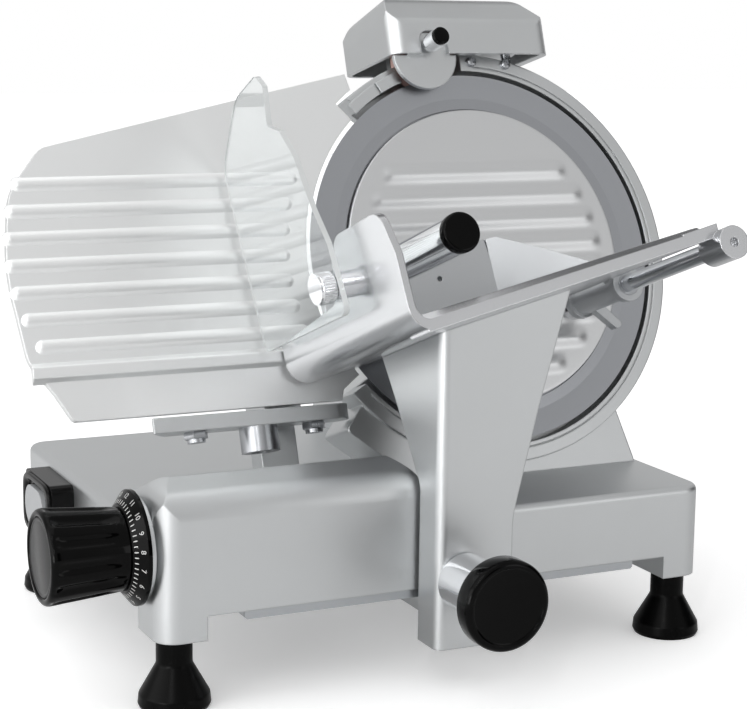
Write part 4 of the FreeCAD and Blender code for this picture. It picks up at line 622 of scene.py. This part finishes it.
# %% Tree that sets copies round Z or in rows
tree, given = new_tree("copies_in_rows_or_round", ["Columns", "Rows"], ["Width", "Height", "Turn"])
grid = add_node(tree, "GeometryNodeMeshGrid", links={
    "Size X": given["Width"], "Size Y": given["Height"],
    "Vertices X": given["Columns"], "Vertices Y": given["Rows"]})
number = add_node(tree, "GeometryNodeInputIndex")
angle = add_node(tree, "ShaderNodeMath", links={0: number, 1: given["Turn"]}, operation="MULTIPLY")
spin = add_node(tree, "ShaderNodeCombineXYZ", links={2: angle})
placed = add_node(tree, "GeometryNodeInstanceOnPoints", links={
    "Points": grid, "Instance": given["Geometry"], "Rotation": spin})
copy_tree = close_tree(tree, given, placed)

# %% [markdown]
# The third tree presses ribs. For each point it finds the nearest rib: the drop under the highest
# rib is rounded to a whole number of pitches, and kept between the first rib and the last. How far
# the point is off that rib says how high it swells. A rib ends where its height meets a circle
# round the plate's centre, and only points on the front face move.

# %% Tree that presses ribs into a round plate
tree, given = new_tree("pressed_ribs", [], ["Highest", "Pitch", "Span", "Half Width", "Height", "Reach",
                                            "Fade", "Face"])
spot = add_node(tree, "GeometryNodeInputPosition")
x, y, z = add_node(tree, "ShaderNodeSeparateXYZ", links={0: spot}).outputs

drop = add_node(tree, "ShaderNodeMath", links={0: given["Highest"], 1: y}, operation="SUBTRACT")
nudged = add_node(tree, "ShaderNodeMath", {1: 0.5}, {0: given["Pitch"], 2: drop}, operation="MULTIPLY_ADD")
snapped = add_node(tree, "ShaderNodeMath", links={0: nudged, 1: given["Pitch"]}, operation="SNAP")
not_above = add_node(tree, "ShaderNodeMath", {1: 0.0}, {0: snapped}, operation="MAXIMUM")
rib_drop = add_node(tree, "ShaderNodeMath", links={0: not_above, 1: given["Span"]}, operation="MINIMUM")
off = add_node(tree, "ShaderNodeMath", links={0: drop, 1: rib_drop}, operation="SUBTRACT")
off_size = add_node(tree, "ShaderNodeMath", links={0: off}, operation="ABSOLUTE")
swell = add_node(tree, "ShaderNodeMapRange", {"From Max": 0.0},
                 {"Value": off_size, "From Min": given["Half Width"]}, interpolation_type="SMOOTHSTEP")

level = add_node(tree, "ShaderNodeMath", links={0: given["Highest"], 1: rib_drop}, operation="SUBTRACT")
level_2 = add_node(tree, "ShaderNodeMath", links={0: level, 1: level}, operation="MULTIPLY")
reach_2 = add_node(tree, "ShaderNodeMath", links={0: given["Reach"], 1: given["Reach"]}, operation="MULTIPLY")
half_2 = add_node(tree, "ShaderNodeMath", links={0: reach_2, 1: level_2}, operation="SUBTRACT")
half = add_node(tree, "ShaderNodeMath", links={0: half_2}, operation="SQRT")
aside = add_node(tree, "ShaderNodeMath", links={0: x}, operation="ABSOLUTE")
room = add_node(tree, "ShaderNodeMath", links={0: half, 1: aside}, operation="SUBTRACT")
window = add_node(tree, "ShaderNodeMapRange", links={"Value": room, "From Max": given["Fade"]},
                  interpolation_type="SMOOTHSTEP")

in_front = add_node(tree, "ShaderNodeMath", links={0: z, 1: given["Face"]}, operation="GREATER_THAN")
shape = add_node(tree, "ShaderNodeMath", links={0: swell, 1: window}, operation="MULTIPLY")
masked = add_node(tree, "ShaderNodeMath", links={0: shape, 1: in_front}, operation="MULTIPLY")
lift = add_node(tree, "ShaderNodeMath", links={0: masked, 1: given["Height"]}, operation="MULTIPLY")
offset = add_node(tree, "ShaderNodeCombineXYZ", links={2: lift})
moved = add_node(tree, "GeometryNodeSetPosition", links={0: given["Geometry"], "Offset": offset})
rib_tree = close_tree(tree, given, moved)

# %% [markdown]
# ## The blade's cover plate
# The round plate that closes the blade is 3 mm aluminium, and a press has raised nine soft ribs in
# it, so that moist food slides over it and doesn't cling. They are nearly as wide as their pitch
# and run out before the rim. A fine disc comes from the lathe, and the rib tree lifts its face.

# %% Pressed cover plate
COVER_R, FACE_RINGS = 88.5, 90
RIBS, RIB_PITCH = 9, 14.7
plate_outline = [(r * COVER_R / FACE_RINGS, 1.5) for r in range(FACE_RINGS)] + [
    (88.2, 1.4), (COVER_R, 1.0), (COVER_R, -1.0), (88.0, -1.5), (9, -1.5), (9, -3.4), (0, -3.4)]
pressed = run_tree(rib_tree, lathe("plate", plate_outline, 288), Highest=50 * MM, Pitch=RIB_PITCH * MM,
                   Span=(RIBS - 1) * RIB_PITCH * MM, Half_Width=6.6 * MM, Height=1.5 * MM,
                   Reach=81 * MM, Fade=9 * MM, Face=1.45 * MM, Material=plate_aluminium)
cover = add_piece("cover_plate_pressed", pressed, BLADE, plate_aluminium, "base")
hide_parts("blade_cover_plate")

# %% [markdown]
# ## The thickness knob
# A compression-moulded phenolic grip: it widens a little towards the hand, shallow flutes run
# along it and end in a soft scoop before the dial, and the end is closed by a flat satin disc. The
# mould leaves no sharp corner, so the outline rounds its rim with a few short steps.

# %% Fluted grip and its disc
GRIP_FLUTES = 12
grip_outline = [
    (0, 8.02), (21.4, 8.02), (21.6, 9), (22.0, 13), (22.3, 17), (22.7, 21), (23.1, 26), (23.5, 31),
    (23.9, 36), (24.2, 40), (24.5, 43), (24.7, 45.5), (24.8, 47), (24.6, 48.2), (24.1, 49.1),
    (23.3, 49.7), (22.3, 49.9), (21.4, 49.8), (20.8, 49.3), (20.5, 48.6), (0, 48.6)]
grip = run_tree(flute_tree, lathe("grip", grip_outline, 288), Count=GRIP_FLUTES, Depth=1.7 * MM,
                Ridge=-0.55, Low=11.5 * MM, High=49.6 * MM, Fade=7 * MM, Material=black_gloss)
knob = add_piece("thickness_knob_grip", grip, KNOB, black_gloss, "thickness_knob")
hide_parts("knob_grip")

disc_outline = [(0, 48.5), (20.3, 48.5), (20.3, 49.0), (19.9, 49.3), (19.2, 49.35), (18.8, 49.1), (18.4, 49.1),
                (18.0, 49.3), (0, 49.5)]
add_piece("thickness_knob_disc", lathe("disc", disc_outline, 96), KNOB, black_satin, "thickness_knob")

# %% [markdown]
# ## The dial
# The dial is a cone, so that its scale can be read from above and from the front. Its lines and
# figures are filled with white paint: three lines for each step over 300 degrees, and a figure at
# each whole one. Both are laid on the cone with a little frame of its own. A line is made once,
# and the copy tree turns it round the axis.

# %% Lines of the dial
SWEEP, FIRST = math.radians(300), math.radians(120)
FIGURES, LINES_PER_FIGURE = 16, 3
CONE_LOW, CONE_HIGH = Vector((30, 2)), Vector((22.5, 8))      # radius and height of its ends, mm
LINE_RADIUS, LINE_SIZE = 24.3, (0.55, 2.4, 0.10)              # mm
slope = (CONE_HIGH - CONE_LOW).normalized()


def on_cone(radius, turned):
    """Frame on the cone: X round it, Y down the slope to its rim, Z out of it."""
    share = (CONE_LOW.x - radius) / (CONE_LOW.x - CONE_HIGH.x)
    height = CONE_LOW.y + share * (CONE_HIGH.y - CONE_LOW.y)
    up = Vector((-slope.x, 0, -slope.y))
    out = Vector((slope.y, 0, -slope.x))
    turn = Matrix((up.cross(out), up, out)).transposed().to_4x4()
    return Matrix.Rotation(FIRST + turned, 4, "Z") @ place_at(radius, 0, height) @ turn


line = bmesh.new()
bmesh.ops.create_cube(line, size=MM, matrix=on_cone(LINE_RADIUS, 0) @ Matrix.Diagonal(LINE_SIZE).to_4x4())
bmesh.ops.bevel(line, geom=line.edges[:], offset=0.02 * MM, segments=1, affect="EDGES")
gaps = LINES_PER_FIGURE * (FIGURES - 1)
lines = run_tree(copy_tree, plain_mesh("line", line), Columns=gaps + 1, Rows=1, Width=0.0, Height=0.0,
                 Turn=SWEEP / gaps, Material=dial_white)
add_piece("dial_lines", lines, KNOB, dial_white, "thickness_knob")

# %% Figures of the dial
FIGURE_RADIUS, FIGURE_SIZE, PAINT = 27.5, 4.2, 0.06           # mm
figures = bmesh.new()
for number in range(FIGURES):
    text = bpy.data.curves.new("figure", "FONT")
    text.body = str(number)
    text.size, text.extrude = FIGURE_SIZE * MM, PAINT * MM
    text.align_x, text.align_y = "CENTER", "CENTER"
    holder = bpy.data.objects.new("figure", text)
    figure = bpy.data.meshes.new_from_object(holder)
    figure.transform(on_cone(FIGURE_RADIUS, number * SWEEP / (FIGURES - 1)))
    figures.from_mesh(figure)
    bpy.data.objects.remove(holder)
bmesh.ops.remove_doubles(figures, verts=figures.verts, dist=SEAM)
add_piece("dial_figures", plain_mesh("figures", figures), KNOB, dial_white, "thickness_knob")

# %% [markdown]
# ## Caps and tips
# The lock knob is a black disc with a rolled rim and a shallow dish, which a mould gives so that
# the face doesn't sink. The handle ends in a small cap with a rounded rim, and the press buttons
# of the sharpener carry a black tip. All four are turned outlines.

# %% Lock knob and handle cap
RIM_ROLL = 3                     # mm, radius of the rolled rim


def dished(radius, low, high):
    """Outline of a disc with a rolled rim and a dished face."""
    angles = [math.radians(15 * i) for i in range(7)]
    rim = [(radius - RIM_ROLL * (1 - math.cos(a)), high - RIM_ROLL * (1 - math.sin(a))) for a in angles]
    side = [(0, low), (radius - 2.2, low), (radius - 0.7, low + 0.5), (radius, low + 2)]
    dish = [(radius - 3.6, high - 0.1), (radius - 4.2, high - 0.7), (radius - 4.8, high - 0.9),
            (0, high - 0.7)]
    return side + rim + dish


lock_place = Matrix.Translation((-0.005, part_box("lock_knob")[1][1], 0.060)) @ turn_by(90, "X")
lock = add_piece("lock_knob_disc", lathe("lock", dished(24, 0.02, 12.98), 128), lock_place, black_gloss,
                 "lock")
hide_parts("lock_knob")

cap_outline = [(0, 0.02), (9.9, 0.02), (10.3, 0.3), (10.4, 0.8), (10.4, 3.6), (10.2, 4.4), (9.7, 5.0),
               (9.0, 5.3), (8.4, 5.2), (0, 5.6)]
cap = add_piece("handle_end_cap", lathe("cap", cap_outline, 96), TRAY @ place_at(-100, -8, 152), black_gloss,
                "pusher")
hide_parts("handle_cap")

# %% Button tips
tip_outline = [(0, 0), (4.9, 0), (5.2, 0.3), (5.2, 1.6), (4.8, 2.1), (4.2, 2.3), (0, 2.5)]
hone_end = BLADE @ place_at(-24, 125.5, 25.95)
grind_end = BLADE @ place_at(-24, 120, -61.95) @ turn_by(180, "X")
for button, place in (("hone_button", hone_end), ("grind_button", grind_end)):
    add_piece(button + "_tip", lathe("tip", tip_outline, 48), place, black_gloss, button)

# %% [markdown]
# ## Knurl, screws and nuts
# The nut that clamps the acrylic guard has a straight knurl for the fingers, which is the flute
# tree again with many small flutes. Two round screw heads with a socket stand on top of the ring,
# and two nuts hold the gauge plate from below: turned in only six steps, a ring is a hexagon.

# %% Knurled nut
KNURLS = 36
knurl_outline = [(7.9, 0.3), (8.3, 0.8), (8.3, 2), (8.3, 4), (8.3, 6), (8.3, 7.4), (7.9, 7.9), (7.7, 7.9),
                 (7.7, 0.3), (7.9, 0.3)]
knurl = run_tree(flute_tree, lathe("knurl", knurl_outline, 6 * KNURLS), Count=KNURLS, Depth=0.35 * MM,
                 Ridge=-0.3, Low=0.6 * MM, High=7.6 * MM, Fade=0.8 * MM, Material=chrome)
add_piece("guard_nut_knurl", knurl, TRAY @ place_at(-153.5, -17, 108) @ turn_by(-90, "Y"), chrome,
          "carriage")

# %% Screw heads on the ring and nuts under the gauge plate
screw_outline = [(0, -0.3), (3.2, -0.3), (3.2, 1.2), (2.9, 2.0), (2.2, 2.6), (1.5, 2.8), (1.4, 1.4), (0, 1.4)]
for name, x, height in (("ring_screw_left", 8.3, 118.4), ("ring_screw_right", 31.4, 116.8)):
    add_piece(name, lathe("screw", screw_outline, 40), BLADE @ place_at(x, height, 0), plain_steel, "base")

nut_outline = [(4.9, 0.2), (6.5, 0.2), (6.9, 0.7), (6.9, 3.5), (6.5, 4.0), (4.9, 4.0), (4.9, 0.2)]
for name, x in (("gauge_nut_left", -190), ("gauge_nut_right", -120)):
    add_piece(name, lathe("nut", nut_outline, 6), BLADE @ place_at(x, -89, -8) @ turn_by(90, "X"),
              plain_steel, "gauge")

# %% [markdown]
# ## The rim of the switch
# The switch sits in a moulded frame with a raised rim that keeps a sleeve from catching the
# button. The rim is seven rounded loops, one inside the other, joined into a closed band.

# %% Switch rim
LOOP_STEPS, ROUNDNESS = 96, 0.4      # a power of 1 would give an ellipse, near 0 a rectangle
RIM_LOOPS = [(17.6, 27.6, 0.0), (17.6, 27.6, 1.3), (17.0, 27.0, 2.1), (15.8, 25.8, 2.4),
             (14.6, 22.6, 2.2), (13.4, 20.4, 0.6), (13.2, 20.2, 0.0)]      # half sizes and height, mm


def loop_points(half_tall, half_wide, height):
    """Rounded oblong in mm: X up the face, Y along it."""
    points = []
    for i in range(LOOP_STEPS):
        c, d = math.cos(math.tau * i / LOOP_STEPS), math.sin(math.tau * i / LOOP_STEPS)
        points.append((math.copysign(abs(c) ** ROUNDNESS, c) * half_tall,
                       math.copysign(abs(d) ** ROUNDNESS, d) * half_wide, height))
    return points


def join_rings(shape, pairs):
    """Fills the band between each pair of rings of the same number of points."""
    for one, other in pairs:
        for k in range(len(one)):
            j = (k + 1) % len(one)
            shape.faces.new((one[k], one[j], other[j], other[k]))


band = bmesh.new()
rings = [[band.verts.new(Vector(point) * MM) for point in loop_points(*sizes)] for sizes in RIM_LOOPS]
join_rings(band, zip(rings, rings[1:] + rings[:1]))
bmesh.ops.recalc_face_normals(band, faces=band.faces)
add_piece("switch_rim", plain_mesh("rim", band), place_at(-177, 50, 68) @ turn_by(-90, "Y"), black_plastic,
          "base")

# %% [markdown]
# ## The end plate of the sharpener's cover
# The cover is cast hollow, and on the slope of its right end a narrow plate closes the hollow. It
# is a thin bar with rounded edges, turned to lie on the slope.

# %% End plate
SLOPE_FALL, SLOPE_RUN = 18, 16       # mm, of the cover's right end
END_PLATE = (7.5, 61, 1.2)           # mm
plate = bmesh.new()
bmesh.ops.create_cube(plate, size=MM, matrix=Matrix.Diagonal(END_PLATE).to_4x4())
bmesh.ops.bevel(plate, geom=plate.edges[:], offset=0.35 * MM, segments=3, affect="EDGES")
end_turn = Matrix.Rotation(math.atan2(SLOPE_FALL, -SLOPE_RUN), 4, "Z") @ turn_by(90, "X")
add_piece("sharpener_end_plate", plain_mesh("plate", plate), BLADE @ place_at(50.2, 149.05, -27) @ end_turn,
          cast_aluminium, "sharpener")

# %% [markdown]
# ## Air slots of the motor housing
# The motor warms the housing, so its back wall is pierced by rows of hooded slots that shed
# water. One hood is a half oval swept over 24 mm and thinned at both ends; the copy tree lays
# two columns of seven.

# %% Hooded slots
def hood(width, height, depth, steps):
    shape = bmesh.new()
    arc = [(math.cos(math.radians(18 * k)), math.sin(math.radians(18 * k))) for k in range(11)]
    rings = []
    for i in range(steps + 1):
        x = -1 + 2 * i / steps
        swell = (1 - x ** 6) ** 0.5 * 0.98 + 0.02
        outline = [(height / 2 * c * (1 if c > 0 else 0.35), depth * swell * d) for c, d in arc]
        rings.append([shape.verts.new((x * width / 2 * MM, u * MM, d * MM)) for u, d in outline])
    join_rings(shape, zip(rings, rings[1:]))
    shape.faces.new(rings[0])
    shape.faces.new(rings[-1])
    bmesh.ops.recalc_face_normals(shape, faces=shape.faces)
    return plain_mesh("hood", shape)


one_hood = hood(width=24, height=7, depth=2.2, steps=16)
hoods = run_tree(copy_tree, one_hood, Columns=2, Rows=7, Width=34 * MM, Height=66 * MM, Turn=0.0,
                 Material=cast_aluminium)
wall = place_at(92, 113.9, 147) @ turn_by(180, "Z") @ turn_by(90, "X")
add_piece("housing_air_slots", hoods, wall, cast_aluminium, "base")
